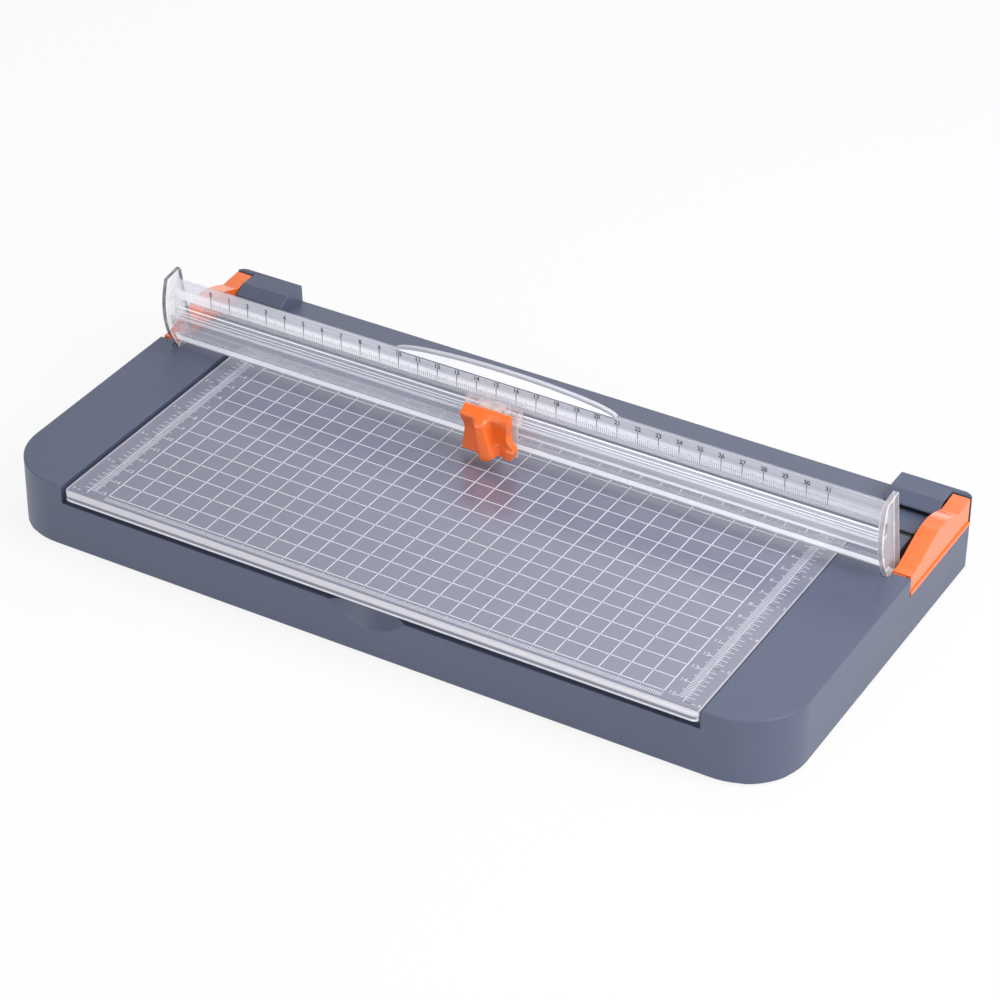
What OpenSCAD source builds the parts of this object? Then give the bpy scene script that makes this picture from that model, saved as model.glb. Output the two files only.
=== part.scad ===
// Desk paper trimmer. A low base holds a storage tray under a clear gridded lid. A clear ruler arm
// is hinged to the base at its foot and stands raised; it folds back onto the cutting line.
// A cutter head slides along the arm, and a lever lies beside each end of it.
// Millimetres, +Z up. The origin is the middle of the footprint, on the surface it stands on.

/* [Base] */
// Width of the base, side to side
base_w = 380; // [374:2:430]
// Depth of the base, front wall to back wall
base_d = 192; // [188:1:230]
// Height of the base walls
base_h = 31.5; // [29:0.5:40]
// Plan radius of the front corners
front_r = 29; // [15:1:34]
// Plan radius of the rear corners
rear_r = 5; // [3:0.5:10]
// Wall thickness of the base moulding
wall = 2.6; // [2:0.1:3]
// Distance from the cutting line to the back wall
cut_from_back = 37; // [36:0.5:42]
// Flat strip of deck behind the cutting line
deck_flat = 4; // [3:0.5:8]
// Fall of the deck from that strip to the back edge
deck_drop = 4.5; // [1:0.5:6]
// Distance from the side of the base to the lid's recess
side_margin = 34.5; // [27:0.5:44]
// Width of the ledge between the recess's side and the tray
tray_ledge = 8.5; // [6:0.5:30]
// Height of the tray's floor above the bottom of the base walls
tray_floor = 6.5; // [5.5:0.5:14]
// Distance from the front wall to the tray
tray_front_margin = 10.5; // [10:0.5:20]
// Height of the shadow gap in the front wall under the lid's lip
lip_gap_h = 4.2; // [2.4:0.1:4.6]
// Depth of that gap into the front wall
lip_gap_depth = 2.6; // [1:0.1:3]
// Width of the finger scoop at the shadow gap
scoop_w = 37; // [24:1:50]
// Height of the finger scoop below the shadow gap
scoop_h = 8.8; // [5:0.2:10]
// Depth of the finger scoop into the front wall
scoop_depth = 5.2; // [4.5:0.1:6.5]

/* [Rear corner hoods] */
// Length of each hood, in from the side of the base
hood_len = 35; // [24:1:44]
// Height of a hood above the base's top face
hood_rise = 4.1; // [3.5:0.1:7]
// Depth of a hood's flat roof
hood_roof = 12.5; // [9:0.5:14]
// Depth of the sloping flap in front of the roof
flap_run = 6.5; // [4:0.5:7]
// Fall of the sloping flap
flap_fall = 3; // [1.5:0.1:3.2]
// Thickness of the flap
flap_t = 1.2; // [0.8:0.1:1.6]
// Thickness of the wall that closes a hood's inner end
hood_end_t = 1.6; // [1:0.1:3]

/* [Lid] */
// Thickness of the clear lid
lid_t = 2.5; // [1.5:0.1:3.5]
// Depth of the lid's top below the base's top face
lid_sink = 0.4; // [0.2:0.1:1]
// Distance from the lid's rear edge to the cutting line
lid_to_cut = 17; // [12:0.5:22]
// Reach of the lid's lip in front of the front wall
lip_reach = 2; // [1.6:0.1:3]
// Height of the lid's lip below the lid's top
lip_h = 4.6; // [3.6:0.1:7]
// Gap at the lid's left edge
lid_left_gap = 2.8; // [0.3:0.1:5]
// Gap at the lid's right edge and behind it
lid_side_gap = 0.4; // [0.3:0.1:1]

/* [Arm] */
// Distance from the arm's hinge to the cutting line
pivot_reach = 27; // [26:0.5:30]
// Depth of the arm's hinge below the base's top face
pivot_depth = 3.5; // [3.3:0.1:5]
// Thickness of each end cap
cap_t = 2.6; // [2:0.1:4]
// Height of the end caps above the hinge
cap_h = 42.8; // [42.2:0.2:43.6]
// Thickness of the beam across its rails
beam_t = 7.4; // [7:0.1:7.6]
// Height of the beam's lower edge above the hinge
beam_foot = 6.2; // [5.6:0.1:7]
// Height of the beam's top edge above the hinge
beam_top = 39; // [38.4:0.2:40]
// Rise of the ruler bevel at the beam's top
bevel_rise = 6; // [5:0.2:6.2]
// Half length of the crescent pull tab
tab_half = 55.5; // [30:0.5:80]
// Height of the crescent pull tab
tab_h = 6.1; // [4:0.1:8]
// Thickness of the crescent pull tab
tab_t = 2.2; // [1.2:0.1:2.6]
// Place of the pull tab's middle along the arm
tab_x = -5; // [-40:0.5:40]
// Width of the soft clamp strip under the beam
clamp_w = 9.8; // [6:0.2:10.4]

/* [Cutter head] */
// Place of the cutter head along the arm, at rest
slider_x = -7.4; // [-60:0.2:60]
// Width of the grip
grip_w = 23.6; // [22:0.2:28]
// Width of the fin on the grip
fin_w = 6; // [4:0.2:8]
// Reach of the fin in front of the grip's back face
fin_reach = 8.6; // [7:0.2:12]
// Height of the grip
grip_h = 23.2; // [21:0.2:23.4]
// Travel of the grip when it is pressed to cut
press_travel = 1.6; // [1.2:0.1:1.6]
// Radius of the round blade
blade_r = 5.9; // [5.6:0.1:6.2]
// Thickness of the round blade
blade_t = 0.6; // [0.4:0.1:0.8]
// Length of the runner in the beam's channel
runner_len = 26.4; // [25:0.2:32]

/* [Side levers] */
// Width of each lever across its top
lever_w = 8.4; // [7.6:0.1:9]
// Height of the lever's hump above the base's top face
hump_rise = 7.7; // [5:0.1:10]
// Distance from the hinge to the hump
hump_reach = 28.5; // [22:0.5:34]
// Distance from the hinge to the crease of the finger tab
crease_reach = 47.8; // [42:0.2:52]
// Height of the crease above the base's top face
crease_rise = 2.7; // [1.5:0.1:4]
// Height of the finger tab's rear edge above the base's top face
tab_rise = 3.6; // [2.5:0.1:5]
// Height of the lever's skirt below the base's top face
skirt_drop = 9.7; // [8:0.1:12]
// Height of the finger flange along the skirt's lower edge
flange_h = 1.6; // [1:0.1:3]

/* [Fittings] */
// Radius of the hinge pins
pin_r = 1.5; // [1.2:0.1:1.6]
// Radius of the rubber feet
foot_r = 8; // [5:0.5:9]
// Height of the base walls above the surface it stands on
foot_out = 1.5; // [1:0.1:3]
// Thickness of the bottom cover
cover_t = 2; // [1.4:0.1:2.4]
// Radius of the cover screws' shanks
screw_r = 1.5; // [1.2:0.1:1.8]
// Length of the cover screws' shanks
screw_len = 10; // [7:0.5:14]
// Width of the cutting strip
strip_w = 2.4; // [2.2:0.1:5]
// Thickness of the cutting strip
strip_t = 2.2; // [1.8:0.1:2.6]

/* [Hidden] */
$fn = 64;

// Colours of the mouldings and metal
slate = "#5f6880";
orange = "#ff6f1f";
clear = [0.86, 0.88, 0.92, 0.45];
frosted = [0.66, 0.67, 0.72, 0.7];
black = "#1d1e22";
steel = "#c3c7cc";
milky = [0.93, 0.94, 0.95, 0.8];

// Clearances
slide_gap = 0.3;
flat_gap = 0.1;
bore_gap = 0.05;
over = 1;

// Heights and depths of the base
base_front = -(base_d + lip_reach) / 2 + lip_reach;
base_back = (base_d + lip_reach) / 2;
base_top = foot_out + base_h;
cut_y = base_back - cut_from_back;
deck_break = cut_y + deck_flat;
deck_back_z = base_top - deck_drop;

// Lid, its recess and the tray below
lid_top = base_top - lid_sink;
lid_bottom = lid_top - lid_t;
lid_rear = cut_y - lid_to_cut;
recess_w = base_w - 2 * side_margin;
lid_w = recess_w - lid_left_gap - lid_side_gap;
lid_shift = (lid_left_gap - lid_side_gap) / 2;
tray_w = recess_w - 2 * tray_ledge;
lid_corner_r = 3;
lip_front = base_front - lip_reach;
lip_back = base_front - flat_gap;
lip_bottom = lid_top - lip_h;
lip_bend_r = lip_reach + 0.5;
ledge_z = lid_bottom - flat_gap;
ledge = 6.5;
recess_rear = lid_rear + lid_side_gap;
tray_front = base_front + tray_front_margin;
tray_rear = lid_rear - ledge;
tray_z = foot_out + tray_floor;
lip_gap_z = lip_bottom - lip_gap_h;
scoop_top = lip_gap_z;
scoop_r = (pow(scoop_w / 2, 2) + pow(scoop_h, 2)) / (2 * scoop_h);
scoop_z = scoop_top - scoop_h + scoop_r;
scoop_out = (pow(scoop_w / 2, 2) - pow(scoop_depth, 2)) / (2 * scoop_depth);

// Hinge line, levers and end caps, from the side wall inwards
pivot_y = cut_y - pivot_reach;
pivot_z = base_top - pivot_depth;
side_x = base_w / 2;
lever_inset = 0.8;
lever_out = side_x - lever_inset;
lever_in = lever_out - lever_w;
lever_gap = 0.5;
cap_out = lever_in - lever_gap;
cap_in = cap_out - cap_t;
slot_in = cap_in - 0.4;
pocket_in = lever_in - 0.4;
pin_boss = 5.2;
pin_in = slot_in - pin_boss + over;
lever_skin = 2.2;
pin_out = lever_out - lever_skin - 0.2;

// End cap outline, as distances in front of and above the hinge
cap_toe = 5.5;
cap_heel = 6.7;
cap_sole = 3.6;
cap_chin = 11.4;
cap_chin_a = cap_h - 1.3;
cap_bulge = 5.2;
cap_tip = 2.6;
cap_tip_back = 1;
nose_rise = 1.6;
nose_n = (cap_toe - cap_heel) / 2;
nose_r = norm([cap_toe - nose_n, cap_sole - nose_rise]);
heel_r = norm([cap_heel, cap_sole]) + 0.9;
slot_front = pivot_y - nose_n - nose_r - slide_gap;
slot_rear = pivot_y + cap_h + 1.4;
slot_floor = pivot_z - heel_r;

// Beam section, as distances in front of and above the hinge
arm_gap = 0.5;
beam_back = pivot_depth + arm_gap;
beam_front = beam_back + beam_t;
cut_a = pivot_reach;
mouth_half = 4.4;
channel_half = 5.6;
mouth_depth = 1.6;
channel_back = beam_back + 3.4;
channel_front = beam_front - mouth_depth;
blade_slot = 1.4;
slot_end = 2.7;
chamfer_n = beam_back + 4.6;
chamfer_rise = 5.8;
chamfer_a = beam_foot + chamfer_rise;
foot_t = 1.3;
rail_a = cut_a - mouth_half - 0.2;
bevel_a = beam_top - bevel_rise;
top_land = 0.8;
clamp_depth = 2.6;
clamp_a = beam_foot + 4.3;
clamp_play = 0.1;
clamp_proud = 0.2;
bush_r = pin_r + 1.3;

// Cutter head, measured in front of and above the hinge
runner_plate = 1.2;
runner_front = beam_front + 0.2 + runner_plate;
runner_foot_a = beam_foot + 1.4;
grip_back = runner_front + press_travel + 0.2;
grip_top_a = cut_a + 2.2;
grip_foot_a = grip_top_a - grip_h;
grip_brow = 5.6;
grip_brow_drop = 3.2;
grip_sheet = 1.8;
grip_scoop_r = 12.5;
axle_r = 0.75;
washer_t = 0.3;
washer_r = 2;
cheek_gap = blade_t + 2 * washer_t + 4 * bore_gap;
holder_half = 2.7;
holder_len = 10;
holder_wall = 0.45;
holder_back = channel_back + press_travel + 0.2;
axle_n = holder_back + holder_wall + axle_r;
window_half = blade_r + slide_gap + 0.9;
spring_r = 1.2;
spring_wire = 0.4;
spring_turns = 4;
spring_seat = 2.4;
spring_x = window_half + spring_r + 0.7;
spring_a = cut_a - 2.5;

// Levers
lever_lead = 1.5;
lever_rear_gap = 0.7;
rear_wall = 3.1;
lever_front = pivot_y - lever_lead;
lever_rear = base_back - rear_wall - lever_rear_gap;
lever_foot = base_top - skirt_drop;
lever_ear_r = pin_r + 1.7;
lever_swing_gap = 1.1;
lever_steps = 12;
hinge_block = 6.5;

// Bottom cover and its fasteners
cover_z = foot_out + 0.3;
cover_top = cover_z + cover_t;
screw_head_r = 2 * screw_r;
screw_head_h = 1.2;
boss_r = screw_r + 2.2;
screw_inset = 30;
screw_setback = 45;
screw_pitch = 60;
screw_behind_cut = 13;
screw_places = [for (s = [-1, 1]) each [
  [s * (side_x - screw_inset), base_front + screw_setback],
  [s * (side_x - screw_inset), base_front + screw_setback + screw_pitch],
  [s * base_w / 6, cut_y + screw_behind_cut]]];
foot_inset = 25;
foot_setback = 20;

// Geometry helpers

// Height of the deck behind its flat strip
function deck_z(y) = base_top - deck_drop * (y - deck_break) / (base_back - deck_break);

// Points of an arc through two ends with a given bulge to the left of the line from p to q
function bulged_arc(p, q, bulge, steps) =
  let (chord = q - p, half = norm(chord) / 2, r = (half * half + bulge * bulge) / (2 * bulge),
    side = [-chord.y, chord.x] / (2 * half), mid = (p + q) / 2, c = mid - side * (r - bulge),
    sweep = 2 * asin(half / r), dir = atan2(side.y, side.x))
  [for (i = [0:steps]) c + r * [cos(dir + sweep * (0.5 - i / steps)), sin(dir + sweep * (0.5 - i / steps))]];

// Extrudes a side view drawn in Y and Z
module side_slab(x0, x1) translate([x0, 0, 0]) rotate([90, 0, 90]) linear_extrude(x1 - x0) children();

// Extrudes an arm section drawn in front of and above the hinge
module arm_slab(x0, x1)
  translate([x0, pivot_y, pivot_z]) rotate([90, 0, 90]) linear_extrude(x1 - x0) mirror([1, 0]) children();

// A block of the arm, from its far to its near face and from low to high
module arm_block(x0, x1, n0, n1, a0, a1)
  translate([x0, pivot_y - n1, pivot_z + a0]) cube([x1 - x0, n1 - n0, a1 - a0]);

module x_rod(x0, x1, y, z, r) translate([x0, y, z]) rotate([0, 90, 0]) cylinder(h = x1 - x0, r = r);

module both_sides() for (s = [0, 1]) mirror([s, 0, 0]) children();

module span(x0, x1, y0, y1, z0, z1) translate([x0, y0, z0]) cube([x1 - x0, y1 - y0, z1 - z0]);

// The base's plan outline, drawn in by an inset
module base_outline(inset) {
  half = side_x - inset;
  y0 = base_front + inset;
  y1 = base_back - inset;
  fr = front_r - inset;
  rr = max(rear_r - inset, 0.5);
  translate([-half, y0 + fr]) square([2 * half, y1 - rr - y0 - fr]);
  translate([-half + fr, y0]) square([2 * (half - fr), fr + over]);
  translate([-half + rr, y1 - rr - over]) square([2 * (half - rr), rr + over]);
  for (s = [-1, 1]) {
    translate([s * (half - fr), y0 + fr]) circle(fr);
    translate([s * (half - rr), y1 - rr]) circle(rr);
  }
}

// Base

// Outer block with the deck falling towards the back edge
module deck_block() difference() {
  translate([0, 0, foot_out]) linear_extrude(base_h) base_outline(0);
  side_slab(-side_x - over, side_x + over) polygon([[deck_break, base_top],
    [base_back + over, deck_z(base_back + over)], [base_back + over, base_top + over],
    [deck_break, base_top + over]]);
}

// Hood at the right rear corner: a roof on the back wall with a flap along its front and an inner end wall
module hood() {
  roof = base_top + hood_rise;
  roof_y = base_back - hood_roof;
  flap_y = roof_y - flap_run;
  heel_y = base_back - wall;
  intersection() {
    union() {
      side_slab(side_x - hood_len, side_x) polygon([[base_back, deck_back_z - wall], [base_back, roof],
        [roof_y, roof], [flap_y, roof - flap_fall], [flap_y, roof - flap_fall - flap_t],
        [roof_y, roof - flap_t], [heel_y, deck_z(heel_y)], [heel_y, deck_back_z - wall]]);
      side_slab(side_x - hood_len, side_x - hood_len + hood_end_t) polygon([[base_back, deck_back_z - wall],
        [base_back, roof], [roof_y, roof], [flap_y, roof - flap_fall], [flap_y, deck_z(flap_y) - wall / 2]]);
    }
    translate([0, 0, foot_out]) linear_extrude(base_h + hood_rise + over) base_outline(0);
  }
}

module lid_recess() span(-recess_w / 2, recess_w / 2, base_front - over, recess_rear, ledge_z, base_top + over);

// Recess in the front wall that the lid's lip hangs before
module lip_gap()
  span(-recess_w / 2, recess_w / 2, base_front - over, base_front + lip_gap_depth, lip_gap_z, ledge_z + over);

module tray() span(-tray_w / 2, tray_w / 2, tray_front, tray_rear, tray_z, base_top + over);

// Slot that takes the right end cap, raised and folded
module cap_slot() span(slot_in, pocket_in + over, slot_front, slot_rear, slot_floor, base_top + over);

// Pocket of the right lever, with room for its hinge ear
module lever_pocket() {
  pocket_front = lever_front - lever_swing_gap;
  span(pocket_in, side_x + over, pocket_front, lever_rear + lever_rear_gap, lever_foot - slide_gap,
    base_top + hood_rise + over);
  x_rod(pocket_in, pin_out + 0.4, pivot_y, pivot_z, lever_ear_r + 0.4);
}

module strip_groove()
  span(-slot_in - over, slot_in + over, cut_y - strip_w / 2 - flat_gap, cut_y + strip_w / 2 + flat_gap,
    base_top - strip_t, base_top + over);

// Dished finger scoop under the lid's lip
module finger_scoop()
  intersection() {
    translate([0, base_front - scoop_out, scoop_z]) sphere(r = norm([scoop_r, scoop_out]));
    span(-scoop_r, scoop_r, base_front - over, base_front + tray_front_margin - wall, foot_out, ledge_z);
  }

// What stays inside the hollow of the base: tray, ledges, slots, hinge bosses and screw bosses
module inner_walls() {
  span(-tray_w / 2 - wall, tray_w / 2 + wall, tray_front - wall, tray_rear + wall, tray_z - wall, base_top);
  span(-recess_w / 2 - wall, recess_w / 2 + wall, base_front, recess_rear + wall, ledge_z - wall, base_top);
  span(-recess_w / 2 - wall, recess_w / 2 + wall, base_front, base_front + lip_gap_depth + wall,
    lip_gap_z - wall, base_top);
  span(-slot_in, slot_in, cut_y - strip_w - wall, cut_y + strip_w + wall, base_top - strip_t - wall, base_top);
  span(-scoop_w / 2 - 3 * wall, scoop_w / 2 + 3 * wall, base_front, tray_front, scoop_top - scoop_h - wall, base_top);
  both_sides() {
    span(slot_in - wall, side_x, slot_front - wall, slot_rear + wall, slot_floor - wall, base_top);
    span(pocket_in - wall, side_x, lever_front - lever_swing_gap - wall, base_back,
      lever_foot - slide_gap - wall, base_top);
    span(slot_in - pin_boss, slot_in, pivot_y - pin_boss, pivot_y + pin_boss, pivot_z - pin_boss, base_top);
  }
  for (p = screw_places) translate([p.x, p.y, cover_top]) cylinder(h = base_top - cover_top, r = boss_r);
}

// The hollow under the base, open downwards
module underside() difference() {
  intersection() {
    linear_extrude(base_top) base_outline(wall);
    side_slab(-side_x, side_x) polygon([[base_front, 0], [base_front, base_top - wall],
      [deck_break, base_top - wall], [base_back, deck_back_z - wall], [base_back, 0]]);
  }
  inner_walls();
}

module base_shell() color(slate) difference() {
  union() {
    deck_block();
    both_sides() hood();
  }
  lid_recess();
  lip_gap();
  tray();
  underside();
  both_sides() {
    cap_slot();
    lever_pocket();
    x_rod(pin_in, slot_in + over, pivot_y, pivot_z, pin_r);
  }
  strip_groove();
  finger_scoop();
  for (p = screw_places) translate([p.x, p.y, cover_top - over]) cylinder(h = screw_len - cover_t + over, r = screw_r);
}

module bottom_cover() color(slate) difference() {
  translate([0, 0, cover_z]) linear_extrude(cover_t) base_outline(wall + 0.2);
  for (p = screw_places) translate([p.x, p.y, cover_z - over]) cylinder(h = cover_t + 2 * over, r = screw_r + flat_gap);
}

module bottom_screws() color(steel) for (p = screw_places) translate([p.x, p.y, cover_z]) {
  cylinder(h = screw_len, r = screw_r);
  translate([0, 0, -screw_head_h]) cylinder(h = screw_head_h, r = screw_head_r);
}

module rubber_feet() color(black)
  for (sx = [-1, 1], y = [base_front + foot_setback, base_back - foot_setback])
    translate([sx * (side_x - foot_inset), y, 0]) cylinder(h = cover_z, r = foot_r);

// Strip with a groove that the blade runs in
module cutting_strip() color(black) difference() {
  groove_w = strip_w / 2;
  groove_d = 1.4;
  strip_half = slot_in - 0.4;
  span(-strip_half, strip_half, cut_y - strip_w / 2, cut_y + strip_w / 2, base_top - strip_t, base_top);
  span(-strip_half - over, strip_half + over, cut_y - groove_w / 2, cut_y + groove_w / 2,
    base_top - groove_d, base_top + over);
}

module hinge_pins() color(steel) both_sides() x_rod(pin_in, pin_out, pivot_y, pivot_z, pin_r);

// Lid

// Side view of the lid: a flat plate whose front edge bends down into a lip
function lid_profile() =
  let (bend = [lip_front + lip_bend_r, lid_top - lip_bend_r])
  concat([[lid_rear, lid_bottom], [lid_rear, lid_top]],
    [for (i = [0:8]) bend + lip_bend_r * [-sin(90 * i / 8), cos(90 * i / 8)]],
    [[lip_front, lip_bottom], [lip_back, lip_bottom], [lip_back, lid_bottom]]);

module grid_lid() color(frosted) translate([lid_shift, 0, 0]) intersection() {
  side_slab(-lid_w / 2, lid_w / 2) polygon(lid_profile());
  linear_extrude(base_top + over) union() {
    translate([-lid_w / 2, lip_front + lid_corner_r]) square([lid_w, lid_rear - lip_front]);
    translate([-lid_w / 2 + lid_corner_r, lip_front]) square([lid_w - 2 * lid_corner_r, lid_corner_r + over]);
    for (s = [-1, 1]) translate([s * (lid_w / 2 - lid_corner_r), lip_front + lid_corner_r]) circle(lid_corner_r);
  }
}

// Arm

// Section of the beam: foot, chamfer, front rails with the runner's channel, ruler bevel, clamp groove
function beam_section() = [[beam_back, beam_foot], [beam_back + foot_t, beam_foot], [chamfer_n, chamfer_a],
  [beam_front, rail_a], [beam_front, cut_a - mouth_half], [channel_front, cut_a - mouth_half],
  [channel_front, cut_a - channel_half], [channel_back, cut_a - channel_half],
  [channel_back, cut_a + channel_half], [channel_front, cut_a + channel_half],
  [channel_front, cut_a + mouth_half], [beam_front, cut_a + mouth_half], [beam_front, bevel_a],
  [beam_back + top_land, beam_top], [beam_back, beam_top],
  [beam_back, clamp_a + clamp_w + 2 * clamp_play], [beam_back + clamp_depth, clamp_a + clamp_w + 2 * clamp_play],
  [beam_back + clamp_depth, clamp_a], [beam_back, clamp_a]];

module ruler_beam() color(clear) difference() {
  union() {
    arm_slab(-cap_in, cap_in) polygon(beam_section());
    translate([tab_x, pivot_y - beam_back, pivot_z + beam_top - over]) rotate([90, 0, 0])
      linear_extrude(tab_t) polygon(concat([[tab_half, 0], [-tab_half, 0]],
        [for (i = [0:32]) [-tab_half * cos(180 * i / 32), over + tab_h * sin(180 * i / 32)]]));
  }
  arm_block(-cap_in + slot_end, cap_in - slot_end, 0, channel_back + over,
    cut_a - blade_slot / 2, cut_a + blade_slot / 2);
}

// Outline of an end cap: bulged front edge, pointed top, leaning back edge, round nose
function cap_outline() = concat(
  bulged_arc([cap_chin, cap_chin_a], [cap_toe, cap_sole], cap_bulge, 16),
  [for (i = [0:24])
    let (from = atan2(cap_sole - nose_rise, cap_toe - nose_n), to = -180 - from, t = from + (to - from) * i / 24)
    [nose_n + nose_r * cos(t), nose_rise + nose_r * sin(t)]],
  [[cap_tip_back, cap_h], [cap_tip, cap_h]]);

module end_cap() difference() {
  arm_slab(cap_in, cap_out) polygon(cap_outline());
  x_rod(cap_in - over, cap_out + over, pivot_y, pivot_z, bush_r);
}

module left_end_cap() color(clear) mirror([1, 0, 0]) end_cap();

module right_end_cap() color(clear) end_cap();

module arm_bushes() color(milky) both_sides() difference() {
  x_rod(cap_in, cap_out, pivot_y, pivot_z, bush_r);
  x_rod(cap_in - over, cap_out + over, pivot_y, pivot_z, pin_r + bore_gap);
}

module clamp_strip() color(milky)
  arm_block(-cap_in + over, cap_in - over, beam_back - clamp_proud, beam_back + clamp_depth,
    clamp_a + clamp_play, clamp_a + clamp_play + clamp_w);

// Cutter head

// Runner: a tee that slides in the beam's channel, with a plate in front of the beam
module slider_runner() color(milky) difference() {
  half = runner_len / 2;
  union() {
    arm_block(slider_x - half, slider_x + half, channel_back + slide_gap, channel_front - slide_gap,
      cut_a - channel_half + slide_gap, cut_a + channel_half - slide_gap);
    arm_block(slider_x - half, slider_x + half, channel_back + slide_gap, runner_front,
      cut_a - mouth_half + slide_gap, cut_a + mouth_half - slide_gap);
    arm_block(slider_x - half, slider_x + half, runner_front - runner_plate, runner_front,
      runner_foot_a, cut_a + mouth_half - slide_gap);
  }
  arm_block(slider_x - window_half, slider_x + window_half, 0, runner_front + over,
    cut_a - holder_half - slide_gap, cut_a + holder_half + slide_gap);
}

// Side view of the grip away from its fin: a brow over a scooped sheet
function grip_profile() =
  let (brow = [grip_back + grip_brow, grip_top_a - grip_brow_drop],
    chin = [grip_back + grip_sheet, grip_top_a - grip_brow_drop - grip_scoop_r])
  concat([[grip_back, grip_foot_a], [grip_back, grip_top_a], [grip_back + 1, grip_top_a]],
    bulged_arc(brow, chin, -1.2, 10), [[grip_back + grip_sheet, grip_foot_a]]);

// Side view of the fin between thumb and finger
function fin_profile() =
  let (tip = grip_back + fin_reach)
  concat([[grip_back, grip_foot_a - 0.6], [grip_back, grip_top_a], [grip_back + 1, grip_top_a]],
    bulged_arc([tip, grip_top_a - 6], [tip - 1, grip_foot_a - 0.6], 0.8, 10));

module slider_grip() color(orange) difference() {
  union() {
    arm_slab(slider_x - grip_w / 2, slider_x + grip_w / 2) polygon(grip_profile());
    arm_slab(slider_x - fin_w / 2, slider_x + fin_w / 2) polygon(fin_profile());
  }
  translate([slider_x, pivot_y - axle_n, pivot_z + cut_a - cheek_gap / 2])
    cylinder(h = cheek_gap, r = blade_r + slide_gap);
  for (s = [-1, 1]) translate([slider_x + s * spring_x, pivot_y - grip_back + over, pivot_z + spring_a])
    rotate([90, 0, 0]) cylinder(h = spring_seat + over, r = spring_r + slide_gap);
}

// Points of one coil spring along +Z, as rings of a round wire
function coil_rings(r, wire, turns, h, per_turn, sides) =
  [for (i = [0:turns * per_turn])
    let (t = 360 * i / per_turn, z = wire / 2 + (h - wire) * i / (turns * per_turn))
    [for (j = [0:sides - 1]) let (u = 360 * j / sides)
      [(r - wire / 2 + wire / 2 * cos(u)) * cos(t), (r - wire / 2 + wire / 2 * cos(u)) * sin(t),
        z + wire / 2 * sin(u)]]];

// Least gap of a coil's wire to itself, measured between its rings a turn or more apart
function coil_gap(rings, per_turn) =
  min([for (i = [0:len(rings) - 1 - per_turn], k = [i + per_turn:len(rings) - 1], p = rings[i], q = rings[k])
    norm(p - q)]);

module coil_spring(r, wire, turns, h) {
  sides = 6;
  per_turn = 12;
  rings = coil_rings(r, wire, turns, h, per_turn, sides);
  last = len(rings) - 1;
  echo(least_gap_of_spring_wire = coil_gap(rings, per_turn));
  walls = [for (i = [0:last - 1], j = [0:sides - 1]) let (k = (j + 1) % sides) each [
    [i * sides + j, i * sides + k, (i + 1) * sides + k],
    [i * sides + j, (i + 1) * sides + k, (i + 1) * sides + j]]];
  ends = [for (j = [1:sides - 2]) each [
    [0, j + 1, j], [last * sides, last * sides + j, last * sides + j + 1]]];
  polyhedron(points = [for (ring = rings) each ring], faces = [for (f = concat(walls, ends)) [f[0], f[2], f[1]]]);
}

module grip_springs() color(steel) {
  spring_len = grip_back + spring_seat - runner_front;
  for (s = [-1, 1]) translate([slider_x + s * spring_x, pivot_y - runner_front, pivot_z + spring_a])
    rotate([90, 0, 0]) coil_spring(spring_r, spring_wire, spring_turns, spring_len);
}

// Fork that carries the blade between two cheeks
module blade_holder() color(milky) difference() {
  arm_block(slider_x - holder_len / 2, slider_x + holder_len / 2, holder_back, grip_back,
    cut_a - holder_half, cut_a + holder_half);
  translate([slider_x, pivot_y - axle_n, pivot_z + cut_a - cheek_gap / 2])
    cylinder(h = cheek_gap, r = blade_r + slide_gap);
  translate([slider_x, pivot_y - axle_n, pivot_z + cut_a - holder_half - over])
    cylinder(h = 2 * holder_half + 2 * over, r = axle_r);
}

module blade_wheel() color(steel) translate([slider_x, pivot_y - axle_n, pivot_z + cut_a])
  rotate_extrude() polygon([[axle_r + bore_gap, -blade_t / 2], [blade_r - 1, -blade_t / 2], [blade_r, 0],
    [blade_r - 1, blade_t / 2], [axle_r + bore_gap, blade_t / 2]]);

module blade_axle() color(steel) translate([slider_x, pivot_y - axle_n, pivot_z + cut_a - holder_half])
  cylinder(h = 2 * holder_half, r = axle_r);

module blade_washers() color(steel) for (s = [-1, 1])
  translate([slider_x, pivot_y - axle_n, pivot_z + cut_a + s * (blade_t + washer_t + 2 * bore_gap) / 2])
    difference() {
      cylinder(h = washer_t, r = washer_r, center = true);
      cylinder(h = washer_t + over, r = axle_r + bore_gap, center = true);
    }

// Side levers

// Top edge of a lever: an S rise to the hump, a fall to the crease and the finger tab
function lever_top_edge() =
  let (hump_y = pivot_y + hump_reach, crease_y = pivot_y + crease_reach)
  concat(
    [for (i = [0:lever_steps]) let (t = i / lever_steps)
      [lever_front + (hump_y - lever_front) * t, base_top + hump_rise * (1 - cos(180 * t)) / 2]],
    [for (i = [1:lever_steps]) let (t = i / lever_steps)
      [hump_y + (crease_y - hump_y) * t, base_top + crease_rise + (hump_rise - crease_rise) * cos(90 * t)]],
    [[lever_rear, base_top + tab_rise]]);

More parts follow.
